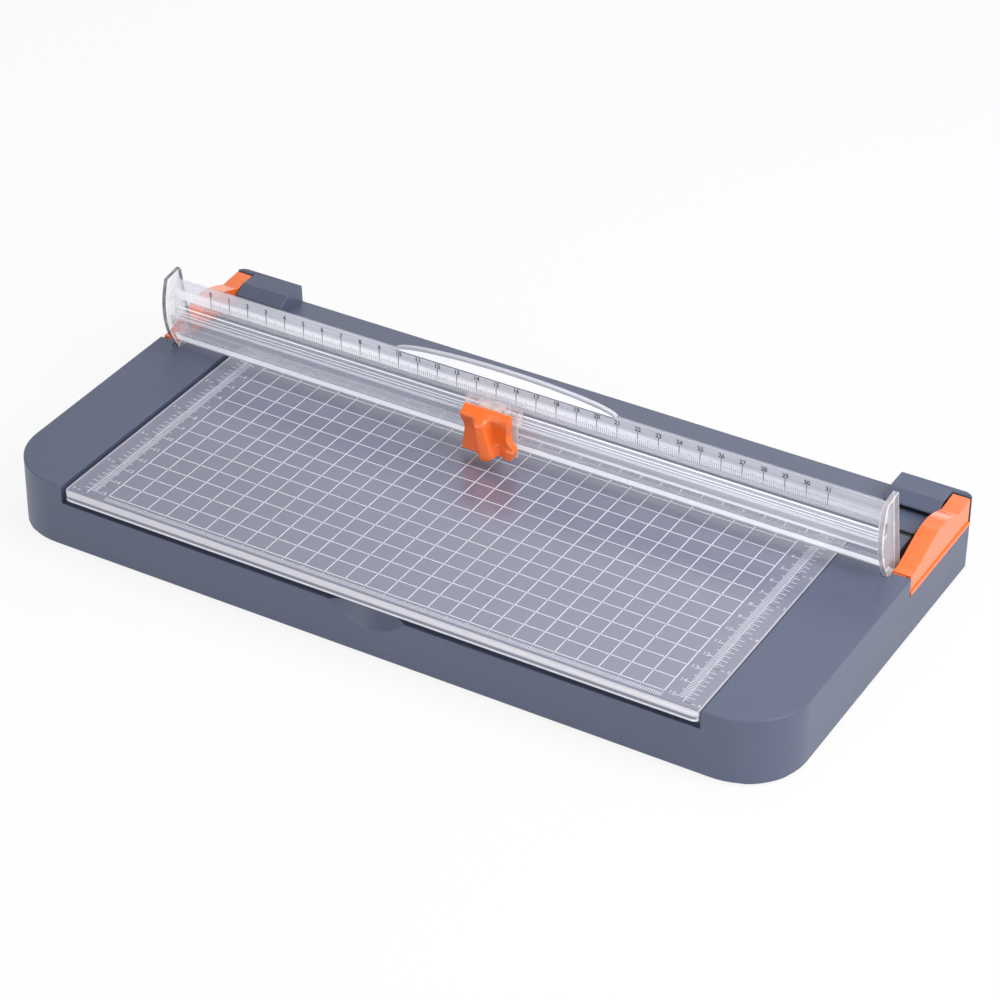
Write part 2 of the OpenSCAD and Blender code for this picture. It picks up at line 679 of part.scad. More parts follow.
module lever() {
  skin = 1.6;
  top_edge = lever_top_edge();
  difference() {
    union() {
      side_slab(lever_in, lever_out) polygon(concat([[lever_rear, lever_foot], [lever_front, lever_foot]], top_edge));
      side_slab(lever_out - over, side_x) polygon([[lever_front, lever_foot], [lever_rear, lever_foot],
        [lever_rear, lever_foot + flange_h], [lever_front, lever_foot + flange_h]]);
      x_rod(lever_in, pin_out, pivot_y, pivot_z, lever_ear_r);
    }
    x_rod(lever_in - over, pin_out + 0.2, pivot_y, pivot_z, pin_r + bore_gap);
    intersection() {
      side_slab(lever_in + skin, lever_out - lever_skin)
        polygon(concat([[lever_rear, lever_foot - over], [lever_front, lever_foot - over]],
          [for (p = top_edge) p - [0, skin]]));
      span(lever_in, lever_out, lever_front + hinge_block, lever_rear - skin, lever_foot - over, base_top + hump_rise);
    }
  }
}

module left_lever() color(orange) mirror([1, 0, 0]) lever();

module right_lever() color(orange) lever();

base_shell();
bottom_cover();
bottom_screws();
rubber_feet();
cutting_strip();
hinge_pins();
grid_lid();
ruler_beam();
left_end_cap();
right_end_cap();
arm_bushes();
clamp_strip();
slider_runner();
slider_grip();
grip_springs();
blade_holder();
blade_wheel();
blade_axle();
blade_washers();
left_lever();
right_lever();
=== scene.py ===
"""Looks of a desk paper trimmer with a hinged clear ruler arm.

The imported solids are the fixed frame. This script gives each of them its finish, replaces the mouldings
whose edges catch the light with softened copies, shapes the cutter head's grip, and prints the grid and the
scales. Sizes are in millimetres inside the classes and become metres when a mesh is made.
"""

import logging
import math
from dataclasses import dataclass
from enum import Enum
from typing import Any, Callable, Iterable, Iterator, Optional, Sequence, Union

import bmesh
import bpy
from mathutils import Matrix, Vector


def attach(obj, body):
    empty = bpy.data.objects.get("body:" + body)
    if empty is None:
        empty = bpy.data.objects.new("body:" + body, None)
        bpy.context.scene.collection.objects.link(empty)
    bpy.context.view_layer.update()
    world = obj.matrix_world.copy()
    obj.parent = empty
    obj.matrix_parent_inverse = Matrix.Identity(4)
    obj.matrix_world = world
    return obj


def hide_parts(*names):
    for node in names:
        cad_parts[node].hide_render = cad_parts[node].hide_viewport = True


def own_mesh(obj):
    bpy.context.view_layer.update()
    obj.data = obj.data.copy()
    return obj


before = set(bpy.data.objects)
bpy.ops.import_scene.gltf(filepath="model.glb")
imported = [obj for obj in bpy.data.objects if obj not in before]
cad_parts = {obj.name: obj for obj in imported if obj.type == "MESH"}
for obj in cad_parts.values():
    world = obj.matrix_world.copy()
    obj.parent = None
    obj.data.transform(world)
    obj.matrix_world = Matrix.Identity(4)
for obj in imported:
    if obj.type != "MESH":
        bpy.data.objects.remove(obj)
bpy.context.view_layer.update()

LOG = logging.getLogger("trimmer")
MM = 0.001
INCH = 25.4
FILM = 0.02
WELD = 1e-6
FLAT = 0.6
SLACK = 0.05
DIGIT_SHARE = 0.7
CLEAR_IOR = 1.45
HINGE_Y = 33.0
HINGE_Z = 29.5
Pair = tuple[float, float]
Point = tuple[float, float, float]
Colour = tuple[float, float, float]
Stops = tuple[Pair, ...]
Placed = tuple[bpy.types.Mesh, Matrix]
Line = Sequence[bmesh.types.BMVert]
Finishes = dict[str, bpy.types.Material]


class Body(str, Enum):
    """The moving bodies that carry this script's own pieces."""

    BASE = "base"
    LID = "lid"
    ARM = "arm"
    SLIDER = "slider"
    GRIP = "grip"
    LEFT_LIFT = "left_lift"
    RIGHT_LIFT = "right_lift"


class Slot(str, Enum):
    """The record's material slots of these pieces."""

    BASE = "base_plastic"
    ORANGE = "orange_plastic"
    CLEAR = "clear_plastic"
    LID = "lid_plastic"
    STEEL = "steel"


# Node trees


class Wire:
    """A node's output that adds Math nodes when it is used in an expression."""

    def __init__(self, tree: bpy.types.NodeTree, socket: bpy.types.NodeSocket) -> None:
        """Wraps one output socket of a tree."""
        self.tree = tree
        self.socket = socket

    def _math(self, operation: str, first: "Number", second: "Number") -> "Wire":
        """Adds one Math node.

        Args:
            operation: The node's operation.
            first: Its first value or link.
            second: Its second value or link.

        Returns:
            The node's result.
        """
        node = self.tree.nodes.new("ShaderNodeMath")
        node.operation = operation
        for socket, value in zip(node.inputs, (first, second)):
            if isinstance(value, Wire):
                self.tree.links.new(value.socket, socket)
            else:
                socket.default_value = value
        return Wire(self.tree, node.outputs[0])

    def __add__(self, other: "Number") -> "Wire":
        """Sum."""
        return self._math("ADD", self, other)

    def __sub__(self, other: "Number") -> "Wire":
        """Difference."""
        return self._math("SUBTRACT", self, other)

    def __rsub__(self, other: "Number") -> "Wire":
        """Difference from a number."""
        return self._math("SUBTRACT", other, self)

    def __mul__(self, other: "Number") -> "Wire":
        """Product."""
        return self._math("MULTIPLY", self, other)

    __rmul__ = __mul__

    def __mod__(self, other: "Number") -> "Wire":
        """Remainder."""
        return self._math("MODULO", self, other)

    def __pow__(self, other: "Number") -> "Wire":
        """Power."""
        return self._math("POWER", self, other)

    def __gt__(self, other: "Number") -> "Wire":
        """One where this is above the other, and nought elsewhere."""
        return self._math("GREATER_THAN", self, other)

    def __lt__(self, other: "Number") -> "Wire":
        """One where this is below the other, and nought elsewhere."""
        return self._math("LESS_THAN", self, other)

    def largest(self, other: "Number") -> "Wire":
        """The larger of the two."""
        return self._math("MAXIMUM", self, other)

    def smallest(self, other: "Number") -> "Wire":
        """The smaller of the two."""
        return self._math("MINIMUM", self, other)

    def between(self, low: float, high: float) -> "Wire":
        """One between two values, and nought outside them."""
        return (self > low) * (self < high)

    def swing(self, middle: float, spread: float) -> "Wire":
        """A noise as a value that swings about a middle, by half a spread to either side."""
        return (self - 0.5) * spread + middle


Number = Union[Wire, float]


class Graph:
    """A node tree under construction."""

    def __init__(self, tree: bpy.types.NodeTree) -> None:
        """Starts with an empty tree."""
        self.tree = tree
        self.tree.nodes.clear()

    def node(self, kind: str, settings: Optional[dict[str, Any]] = None,
             inputs: Optional[dict[Union[str, int], Any]] = None) -> bpy.types.Node:
        """Adds one node.

        Args:
            kind: The node's type.
            settings: Properties, set first.
            inputs: Values or links by the socket's name or number.

        Returns:
            The new node.
        """
        node = self.tree.nodes.new(kind)
        for key, value in (settings or {}).items():
            setattr(node, key, value)
        for key, value in (inputs or {}).items():
            self._feed(node.inputs[key], value)
        return node

    def _feed(self, socket: bpy.types.NodeSocket, value: Any) -> None:
        """Links a wire or an output to one input, or sets the input to a plain value."""
        if isinstance(value, Wire):
            self.tree.links.new(value.socket, socket)
        elif isinstance(value, bpy.types.NodeSocket):
            self.tree.links.new(value, socket)
        elif socket.type == "RGBA":
            socket.default_value = (*value, 1.0)
        else:
            socket.default_value = value

    def wire(self, kind: str, outlet: Union[str, int], inputs: Optional[dict[str, Any]] = None) -> Wire:
        """Adds one node and gives one of its outputs."""
        return Wire(self.tree, self.node(kind, None, inputs).outputs[outlet])

    def axes(self, coordinates: str) -> tuple[Wire, Wire, Wire]:
        """Coordinates of one kind, one by one."""
        coords = self.node("ShaderNodeTexCoord").outputs[coordinates]
        split = self.node("ShaderNodeSeparateXYZ", None, {"Vector": coords})
        return tuple(Wire(self.tree, socket) for socket in split.outputs)

    def ramp(self, value: Wire, span: Pair, stops: Stops) -> Wire:
        """A value that runs through stops.

        Args:
            value: What is read.
            span: Where the ramp starts and ends.
            stops: Place in the span and result of each stop, in order.

        Returns:
            The result.
        """
        low, high = span
        node = self.node("ShaderNodeValToRGB", None, {"Fac": (value - low) * (1.0 / (high - low))})
        elements = node.color_ramp.elements
        while len(elements) < len(stops):
            elements.new(1.0)
        for element, (place, grey) in zip(elements, stops):
            element.position = (place - low) / (high - low)
            element.color = (grey, grey, grey, 1.0)
        return Wire(self.tree, node.outputs["Color"])


class Palette(Graph):
    """One material under construction."""

    def __init__(self, name: str) -> None:
        """Starts an empty material."""
        self.material = bpy.data.materials.new(name)
        self.material.use_nodes = True
        super().__init__(self.material.node_tree)

    def gloss(self) -> Wire:
        """Share of light that a smooth clear face mirrors."""
        return self.wire("ShaderNodeFresnel", 0, {"IOR": CLEAR_IOR})

    def noise(self, scale: float, detail: float, stretch: Point = (1.0, 1.0, 1.0)) -> Wire:
        """Smooth noise on object coordinates.

        Args:
            scale: Cells per metre.
            detail: Octaves.
            stretch: Factors along X, Y and Z.

        Returns:
            The noise, from nought to one.
        """
        coords = self.node("ShaderNodeTexCoord").outputs["Object"]
        place = self.node("ShaderNodeMapping", None, {"Vector": coords, "Scale": stretch}).outputs["Vector"]
        return self.wire("ShaderNodeTexNoise", "Fac", {"Vector": place, "Scale": scale, "Detail": detail})

    def blend(self, factor: Number, low: Any, high: Any) -> bpy.types.NodeSocket:
        """Mixes two colours or links, with a share of the second."""
        return self.node("ShaderNodeMix", {"data_type": "RGBA"}, {0: factor, 6: low, 7: high}).outputs[2]

    def tint(self, factor: Number, colour: Colour, share: float) -> bpy.types.NodeSocket:
        """A colour that falls to a darker share of itself where the factor is low."""
        return self.blend(factor, tuple(c * share for c in colour), colour)

    def bump(self, height: Wire, distance: float) -> bpy.types.NodeSocket:
        """A normal from a height of nought to one and a depth in metres."""
        return self.node("ShaderNodeBump", None, {"Height": height, "Distance": distance}).outputs["Normal"]

    def done(self, shader: bpy.types.Node) -> bpy.types.Material:
        """Links the surface and returns the finished material."""
        self.node("ShaderNodeOutputMaterial", None, {"Surface": shader.outputs[0]})
        return self.material

    def plastic(self, **inputs: Any) -> bpy.types.Material:
        """Finishes as a Principled shader, with underscores for spaces in its input names."""
        named = {key.replace("_", " "): value for key, value in inputs.items()}
        return self.done(self.node("ShaderNodeBsdfPrincipled", None, named))


# Finishes


@dataclass(frozen=True)
class Moulding:
    """Opaque moulded plastic with a fine spark-eroded skin. A noise is its cells per metre and octaves."""

    name: str
    colour: Colour
    shade: Colour
    roughness: float = 0.42
    depth: float = 0.000012
    coat: float = 0.0
    cloud: Pair = (14.0, 3.0)
    grain: Pair = (2600.0, 2.0)
    rub: Pair = (90.0, 4.0)

    def make(self) -> bpy.types.Material:
        """Builds the material."""
        p = Palette(self.name)
        return p.plastic(
            Base_Color=p.blend(p.noise(*self.cloud).swing(0.5, 0.9), self.shade, self.colour),
            Roughness=p.noise(*self.rub).swing(self.roughness, 0.08),
            Coat_Weight=self.coat, Coat_Roughness=0.12,
            Normal=p.bump(p.noise(*self.grain), self.depth))


@dataclass(frozen=True)
class ClearRail:
    """Clear extruded arm: painted veils of mirrored light and painted highlights that follow its rails, with
    fine flow lines along it.

    The stops are veils at heights above the hinge: `faces` on the front, `lines` on the channel's wall and
    `sheet` on the back face behind the ruler. `bright_front` and `bright` thicken the first two along the
    arm. Veils denser than `shine` has it, and the back face by `lit`, give off some painted light, and
    `dims` takes that of the back face away along the arm. `tab` is the pull tab's middle, half length, foot
    and height, and `crease` the half length, height and least reach of the painted dark line, a painted
    shade, at its foot.
    """

    name: str
    colour: Colour = (0.88, 0.885, 0.965)
    # Colour of the painted dark line, a painted shade, at the pull tab's foot.
    shade: Colour = (0.14, 0.14, 0.18)
    # Painted light: strength of the glow of the densest veils and the back face.
    glow: float = 0.55
    roughness: float = 0.12
    flow: tuple[float, float, Point] = (1500.0, 2.0, (0.012, 1.0, 1.0))
    wave: Pair = (9.0, 2.0)
    sweep: float = 0.3 / 355.0
    back: float = 4.1
    groove: Point = (6.75, 10.4, 20.6)
    wall_reach: Pair = (7.2, 7.6)
    wall_rise: Pair = (21.3, 32.7)
    tab: tuple[float, float, float, float] = (-5.0, 55.5, 39.0, 6.1)
    tab_edge: Pair = (6.12, 38.9)
    tab_veil: float = 0.97
    band: Pair = (1.4, 0.45)
    crease: Point = (0.98, 0.5, 5.6)
    crease_veil: float = 0.85
    shine: Pair = (0.8, 0.22)
    least_veil: float = 0.012
    mirror: float = 0.22
    faces_span: Pair = (6.0, 46.0)
    faces: Stops = (
        (6.2, 0.4), (7.0, 0.55), (7.5, 0.99), (11.3, 0.99), (11.8, 0.7), (12.5, 0.25), (14.2, 0.1),
        (16.8, 0.12), (17.2, 0.2), (17.6, 0.8), (18.6, 0.8), (19.1, 0.2), (20.6, 0.12), (21.8, 0.2),
        (22.2, 0.74), (22.6, 0.74), (22.8, 0.06), (31.3, 0.04), (32.8, 0.04), (33.0, 0.14), (33.3, 0.05),
        (38.2, 0.05), (38.5, 0.12), (39.2, 0.12), (39.6, 0.6), (45.2, 0.7))
    lines_span: Pair = (21.0, 33.0)
    lines: Stops = (
        (21.4, 0.25), (21.7, 0.25), (21.9, 0.95), (22.2, 0.95), (22.45, 0.28), (23.2, 0.2), (23.4, 0.95),
        (23.8, 0.95), (24.05, 0.25), (24.7, 0.42), (25.4, 0.22), (25.65, 0.98), (26.25, 0.98), (26.4, 0.22),
        (27.4, 0.12), (28.0, 0.02), (32.6, 0.02))
    sheet_span: Pair = (27.0, 39.0)
    sheet: Stops = (
        (27.0, 0.0), (27.6, 0.1), (27.8, 0.76), (31.8, 0.8), (33.2, 0.64), (34.2, 0.55), (37.2, 0.55),
        (37.7, 0.72), (38.2, 0.6), (38.6, 0.2), (39.0, 0.1))
    lit: Stops = ((27.6, 0.0), (27.8, 0.65), (32.0, 0.65), (33.4, 0.2), (39.0, 0.2))
    along_span: Pair = (-180.0, 180.0)
    bright: Stops = ((-30.0, 0.0), (40.0, 0.5), (90.0, 0.5), (177.0, 0.28))
    bright_front: Stops = ((-30.0, 0.0), (40.0, 0.72), (150.0, 0.76), (177.0, 0.5))
    bright_wall: float = 30.0
    bright_rise: Pair = (17.0, 22.0)
    dims: Stops = ((40.0, 1.0), (160.0, 0.0))

    def make(self) -> bpy.types.Material:
        """Builds the material."""
        p = Palette(self.name)
        x, y, z = p.axes("Object")
        along = x * (1 / MM)
        reach = HINGE_Y - y * (1 / MM)
        rise = z * (1 / MM) - HINGE_Z
        streak = p.noise(*self.flow)
        sweep = along * self.sweep + 1.0
        deep, low, high = self.groove
        front = (reach > self.back) * (1 - (reach < deep) * rise.between(low, high))
        wall = reach.between(*self.wall_reach) * rise.between(*self.wall_rise)
        rear = (reach < self.back) * rise.between(*self.sheet_span)
        # Painted reflections and highlights: veils by height on the front and on the channel's wall.
        veil = p.ramp(rise, self.faces_span, self.faces) * (1 - wall)
        veil = veil + p.ramp(rise, self.lines_span, self.lines) * wall
        more = p.ramp(along, self.along_span, self.bright) * wall * (rise < self.bright_wall)
        ahead = p.ramp(along, self.along_span, self.bright_front) * (1 - wall)
        more = more + ahead * rise.between(*self.bright_rise)
        veil = veil + (1 - veil) * more
        # Painted reflection on the back face behind the ruler.
        behind = p.ramp(rise, self.sheet_span, self.sheet) * rear
        middle, half, foot, height = self.tab
        across = (along - middle) * (1 / half)
        crest = (1 - across * across).largest(0.0) ** 0.5 * height + foot
        tab_front, tab_foot = self.tab_edge
        tab = (reach > tab_front) * (rise > tab_foot)
        wide, thin = self.band
        band = tab * (rise > crest - wide)
        # Painted shade: a dark line along the pull tab's foot.
        end, tall, out = self.crease
        crease = across.between(-end, end) * rise.between(tab_foot - tall, tab_foot) * (reach > out)
        shown = veil * (1 - tab) + tab * self.tab_veil - band * thin
        uneven = streak.swing(1.0, 0.6) * p.noise(*self.wave).swing(1.0, 0.4) * sweep
        alpha = (shown.largest(crease * self.crease_veil) * front + behind) * uneven
        # Painted light: the densest veils and the back face give off light.
        start, run = self.shine
        shine = ((shown - start) * (1 / run)).largest(0.0) * (1 - crease) * front
        back = p.ramp(rise, self.sheet_span, self.lit) * p.ramp(along, self.along_span, self.dims) * rear
        light = (shine + back) * sweep
        return p.plastic(
            Base_Color=p.blend(crease, p.tint(streak, self.colour, 0.93), self.shade),
            Roughness=streak * 0.1 + self.roughness,
            Alpha=(alpha + self.least_veil + p.gloss() * self.mirror).smallest(1.0),
            Emission_Color=p.blend(light.smallest(1.0), (0.0, 0.0, 0.0), (1.0, 1.0, 1.0)),
            Emission_Strength=self.glow)


@dataclass(frozen=True)
class ClearPlate:
    """Clear moulded plate, with a haze that gathers in soft streaks.

    The haze may thin out between two heights, in millimetres, to a share. A `glow` gives off the tint as
    painted light.
    """

    name: str
    colour: Colour
    veil: float
    streaks: Point = (1.0, 1.0, 0.06)
    cells: Pair = (420.0, 2.0)
    roughness: float = 0.14
    mirror: float = 0.28
    # Painted light: how strongly the tint glows.
    glow: float = 0.0
    thins: Optional[Point] = None

    def make(self) -> bpy.types.Material:
        """Builds the material."""
        p = Palette(self.name)
        streak = p.noise(*self.cells, self.streaks)
        haze = self.veil * streak.swing(1.0, 1.3)
        if self.thins is not None:
            low, high, share = self.thins
            rise = p.axes("Object")[2] * (1 / MM)
            haze = haze * p.ramp(rise, (low - 1.0, high + 1.0), ((low, 1.0), (high, share)))
        tint = p.tint(streak, self.colour, 0.88)
        return p.plastic(
            Base_Color=tint, Roughness=streak * 0.1 + self.roughness,
            Alpha=(haze + p.gloss() * self.mirror).smallest(1.0),
            Emission_Color=tint, Emission_Strength=self.glow)


@dataclass(frozen=True)
class FrostedSheet:
    """Hazy clear sheet with pale rims, a painted highlight, whose glossy top mirrors softly what stands over
    it.

    `front` and `foot` place its lip, whose bend and lower line are pale, and `sides` its pale side edges:
    all painted highlights. `pale` is how much of the rim's colour the bend and the sides take. A coat is its
    index and roughness.
    """

    name: str
    colour: Colour
    shade: Colour
    # Colour of the painted highlights on the rims.
    rim: Colour
    front: float
    foot: float
    sides: Pair
    lip: float = 1.6
    bend: float = 2.4
    line: float = 0.95
    edge: float = 0.9
    pale: Pair = (0.85, 0.5)
    veil: float = 0.86
    rim_veil: float = 0.96
    grain: Pair = (1800.0, 2.0)
    cloud: Pair = (7.0, 2.0)
    roughness: float = 0.3
    coat: Pair = (1.75, 0.2)
    depth: float = 0.000004

    def make(self) -> bpy.types.Material:
        """Builds the material."""
        p = Palette(self.name)
        along, deep, rise = (axis * (1 / MM) for axis in p.axes("Object"))
        fine = p.noise(*self.grain)
        cloud = p.noise(*self.cloud)
        # Painted highlights: the lip's bend, its lower line and the side edges are pale.
        lip = deep < self.front + self.lip
        bend = lip * (rise > self.foot + self.bend)
        line = (rise < self.foot + self.line) * lip
        left, right = self.sides
        sides = (along < left + self.edge).largest(along > right - self.edge)
        bend_share, side_share = self.pale
        pale = (bend * bend_share).largest(line).largest(sides * side_share)
        index, blur = self.coat
        return p.plastic(
            Base_Color=p.blend(pale, p.blend(cloud, self.shade, self.colour), self.rim),
            Roughness=fine * 0.06 + self.roughness,
            Alpha=cloud.swing(self.veil, 0.05).largest(pale * self.rim_veil),
            Coat_Weight=1.0, Coat_IOR=index, Coat_Roughness=blur,
            Normal=p.bump(fine, self.depth))


@dataclass(frozen=True)
class Ink:
    """Screen-printed ink."""

    name: str
    colour: Colour
    cover: float
    specks: Pair = (1500.0, 3.0)
    roughness: float = 0.45

    def make(self) -> bpy.types.Material:
        """Builds the material."""
        p = Palette(self.name)
        speck = p.noise(*self.specks)
        return p.plastic(Base_Color=p.tint(speck, self.colour, 0.88), Roughness=speck * 0.2 + self.roughness,
                         Alpha=speck.swing(self.cover, 0.2))


@dataclass(frozen=True)
class Metal:
    """Drawn or ground steel, with scratches along one way."""

    name: str
    colour: Colour
    lay: Point
    scratches: Pair = (4000.0, 3.0)
    roughness: float = 0.28
    depth: float = 0.000006

    def make(self) -> bpy.types.Material:
        """Builds the material."""
        p = Palette(self.name)
        scratch = p.noise(*self.scratches, self.lay)
        return p.plastic(Base_Color=p.tint(scratch, self.colour, 0.82), Metallic=1.0,
                         Roughness=scratch.swing(self.roughness, 0.2), Normal=p.bump(scratch, self.depth))


@dataclass(frozen=True)
class Rubber:
    """Soft matt rubber."""

    name: str
    colour: Colour
    grain: Pair = (2200.0, 3.0)
    roughness: float = 0.7
    depth: float = 0.00003

    def make(self) -> bpy.types.Material:
        """Builds the material."""
        p = Palette(self.name)
        fine = p.noise(*self.grain)
        return p.plastic(Base_Color=p.tint(fine, self.colour, 0.8), Roughness=fine * 0.15 + self.roughness,
                         Normal=p.bump(fine, self.depth))


LOOKS = (
    Moulding("slate_moulding", (0.098, 0.116, 0.185), (0.088, 0.105, 0.17)),
    Moulding("orange_moulding", (1.0, 0.185, 0.022), (0.93, 0.155, 0.014), roughness=0.34, depth=0.000008,
             coat=0.5),
    # Painted reflections, highlights and glow, and a painted shade line, on the clear arm.
    ClearRail("clear_arm"),
    ClearPlate("clear_cap", (0.95, 0.93, 0.96), 0.09),
    # Painted shading: the caps' rims, dark on the left cap and paler on the right.
    ClearPlate("left_cap_rim", (0.15, 0.135, 0.19), 0.85, (1.0, 0.3, 0.3)),
    ClearPlate("right_cap_rim", (0.5, 0.44, 0.5), 0.6, (1.0, 0.3, 0.3)),
    # Painted highlight: the caps' rounded edges, pale and glowing.
    ClearPlate("cap_edge", (0.95, 0.93, 0.96), 0.6, (1.0, 0.4, 0.4), glow=0.15),
    # Painted highlights: the lid's pale lip and side edges.
    FrostedSheet("frosted_lid", (0.215, 0.225, 0.325), (0.185, 0.195, 0.29), (0.8, 0.79, 0.86), front=-97.0,
                 foot=28.0, sides=(-152.7, 155.1)),
    # Painted light: the shoe's pink tint is bounce light from the orange grip, and the shoe and holder glow.
    ClearPlate("hazy_shoe", (0.97, 0.88, 0.88), 0.3, (0.3, 1.0, 1.0), glow=0.12, thins=(58.4, 59.6, 0.08)),
    ClearPlate("hazy_holder", (1.0, 0.76, 0.7), 0.4, (0.3, 1.0, 1.0), glow=0.1),
    Moulding("natural_bush", (0.8, 0.82, 0.84), (0.74, 0.76, 0.79), roughness=0.35),
    ClearPlate("clamp_rubber", (0.8, 0.81, 0.9), 0.08, (0.012, 1.0, 1.0), roughness=0.4),
    Moulding("black_moulding", (0.03, 0.032, 0.038), (0.024, 0.025, 0.03), roughness=0.5),
    Rubber("foot_rubber", (0.028, 0.028, 0.031)),
    Metal("plain_steel", (0.62, 0.64, 0.67), (1.0, 1.0, 0.05)),
    Ink("white_print", (0.87, 0.9, 0.98), 0.9),
    Ink("black_print", (0.02, 0.02, 0.024), 0.92),
)


# Meshes


def put(name: str, data: bpy.types.ID) -> bpy.types.Object:
    """Links a new object that shows a mesh, a curve, a camera or a light."""
    piece = bpy.data.objects.new(name, data)
    bpy.context.scene.collection.objects.link(piece)
    return piece


def show(name: str, mesh: bpy.types.Mesh, material: Optional[bpy.types.Material], body: Body, slot: Slot,
         stands_for: Optional[str] = None) -> bpy.types.Object:
    """Puts a finished mesh into the scene as a piece of the trimmer.

    Args:
        name: The piece's name.
        mesh: Its mesh, in place and in metres.
        material: Its material, or None if the mesh has its own.
        body: The body it moves with.
        slot: The record's slot of the piece. Not used.
        stands_for: The CAD node that it replaces, if any.

    Returns:
        The new object.
    """
    if material is not None:
        mesh.materials.clear()
        mesh.materials.append(material)
    mesh.name = name
    piece = put(name, mesh)
    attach(piece, body.value)
    if stands_for is not None:
        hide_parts(stands_for)
    LOG.info("piece %s: %d faces, rides on %s", name, len(mesh.polygons), body.value)
    return piece


def smooth(mesh: bpy.types.Mesh, angle: float) -> None:
    """Shades a mesh smooth, but for edges whose faces meet at more than an angle in degrees."""
    mesh.polygons.foreach_set("use_smooth", [True] * len(mesh.polygons))
    mesh.set_sharp_from_angle(angle=math.radians(angle))
    mesh.update()


def evaluated(piece: bpy.types.Object) -> bpy.types.Mesh:
    """Turns a scratch object and its modifiers into a plain mesh and removes the object."""
    bpy.context.view_layer.update()
    graph = bpy.context.evaluated_depsgraph_get()
    mesh = bpy.data.meshes.new_from_object(piece.evaluated_get(graph))
    old = piece.data
    bpy.data.objects.remove(piece)
    home = bpy.data.meshes if isinstance(old, bpy.types.Mesh) else bpy.data.curves
    home.remove(old)
    return mesh


def as_mesh(form: bmesh.types.BMesh, name: str) -> bpy.types.Mesh:
    """Turns an editable form into a mesh and frees it."""
    mesh = bpy.data.meshes.new(name)
    form.to_mesh(mesh)
    form.free()
    return mesh


def welded(node: str) -> bmesh.types.BMesh:
    """An editable copy of a CAD node, with its faces joined along their edges."""
    form = bmesh.new()
    form.from_mesh(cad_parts[node].data)
    bmesh.ops.remove_doubles(form, verts=form.verts, dist=WELD)
    return form


def joined(parts: Iterable[Placed]) -> bpy.types.Mesh:
    """Joins meshes, each with its place in metres, into one."""
    whole = bmesh.new()
    for mesh, place in parts:
        mesh.transform(place)
        whole.from_mesh(mesh)
        bpy.data.meshes.remove(mesh)
    return as_mesh(whole, "joined")


def rounded(form: bmesh.types.BMesh, edges: Sequence[bmesh.types.BMEdge], width: float, segments: int,
            clamp_overlap: bool) -> None:
    """Rounds edges over, in so many steps, from a distance in millimetres to either side."""
    bmesh.ops.bevel(form, geom=edges, offset=width * MM, offset_type="OFFSET", segments=segments,
                    profile=0.5, affect="EDGES", clamp_overlap=clamp_overlap)


def softened(node: str, width: float, pick: Callable[[Vector, Vector], bool], sharp: float,
             segments: int = 2, limit: float = 28.0) -> bpy.types.Mesh:
    """Copies a CAD node with its picked outer edges rounded over.

    Args:
        node: The CAD node.
        width: How far in from the edge the round starts, in millimetres.
        pick: Tells from an edge's two ends, in millimetres, whether it is rounded.
        sharp: Least angle of an edge that counts, in degrees.
        segments: Steps of the round.
        limit: Faces that meet at more than this, in degrees, keep a sharp edge.

    Returns:
        The new mesh.
    """
    soft = welded(node)
    bmesh.ops.dissolve_limit(soft, angle_limit=math.radians(FLAT), use_dissolve_boundaries=False,
                             verts=soft.verts, edges=soft.edges)
    chosen = []
    for edge in soft.edges:
        if len(edge.link_faces) != 2 or edge.calc_face_angle_signed(0.0) < math.radians(sharp):
            continue
        if pick(edge.verts[0].co / MM, edge.verts[1].co / MM):
            chosen.append(edge)
    rounded(soft, chosen, width, segments, False)
    bmesh.ops.recalc_face_normals(soft, faces=soft.faces)
    for face in soft.faces:
        face.smooth = True
    for edge in soft.edges:
        edge.smooth = len(edge.link_faces) == 2 and edge.calc_face_angle(0.0) < math.radians(limit)
    piece = put(node + "_weigh", as_mesh(soft, node + "_soft"))
    weigh = piece.modifiers.new("weigh", "WEIGHTED_NORMAL")
    weigh.keep_sharp = True
    return evaluated(piece)


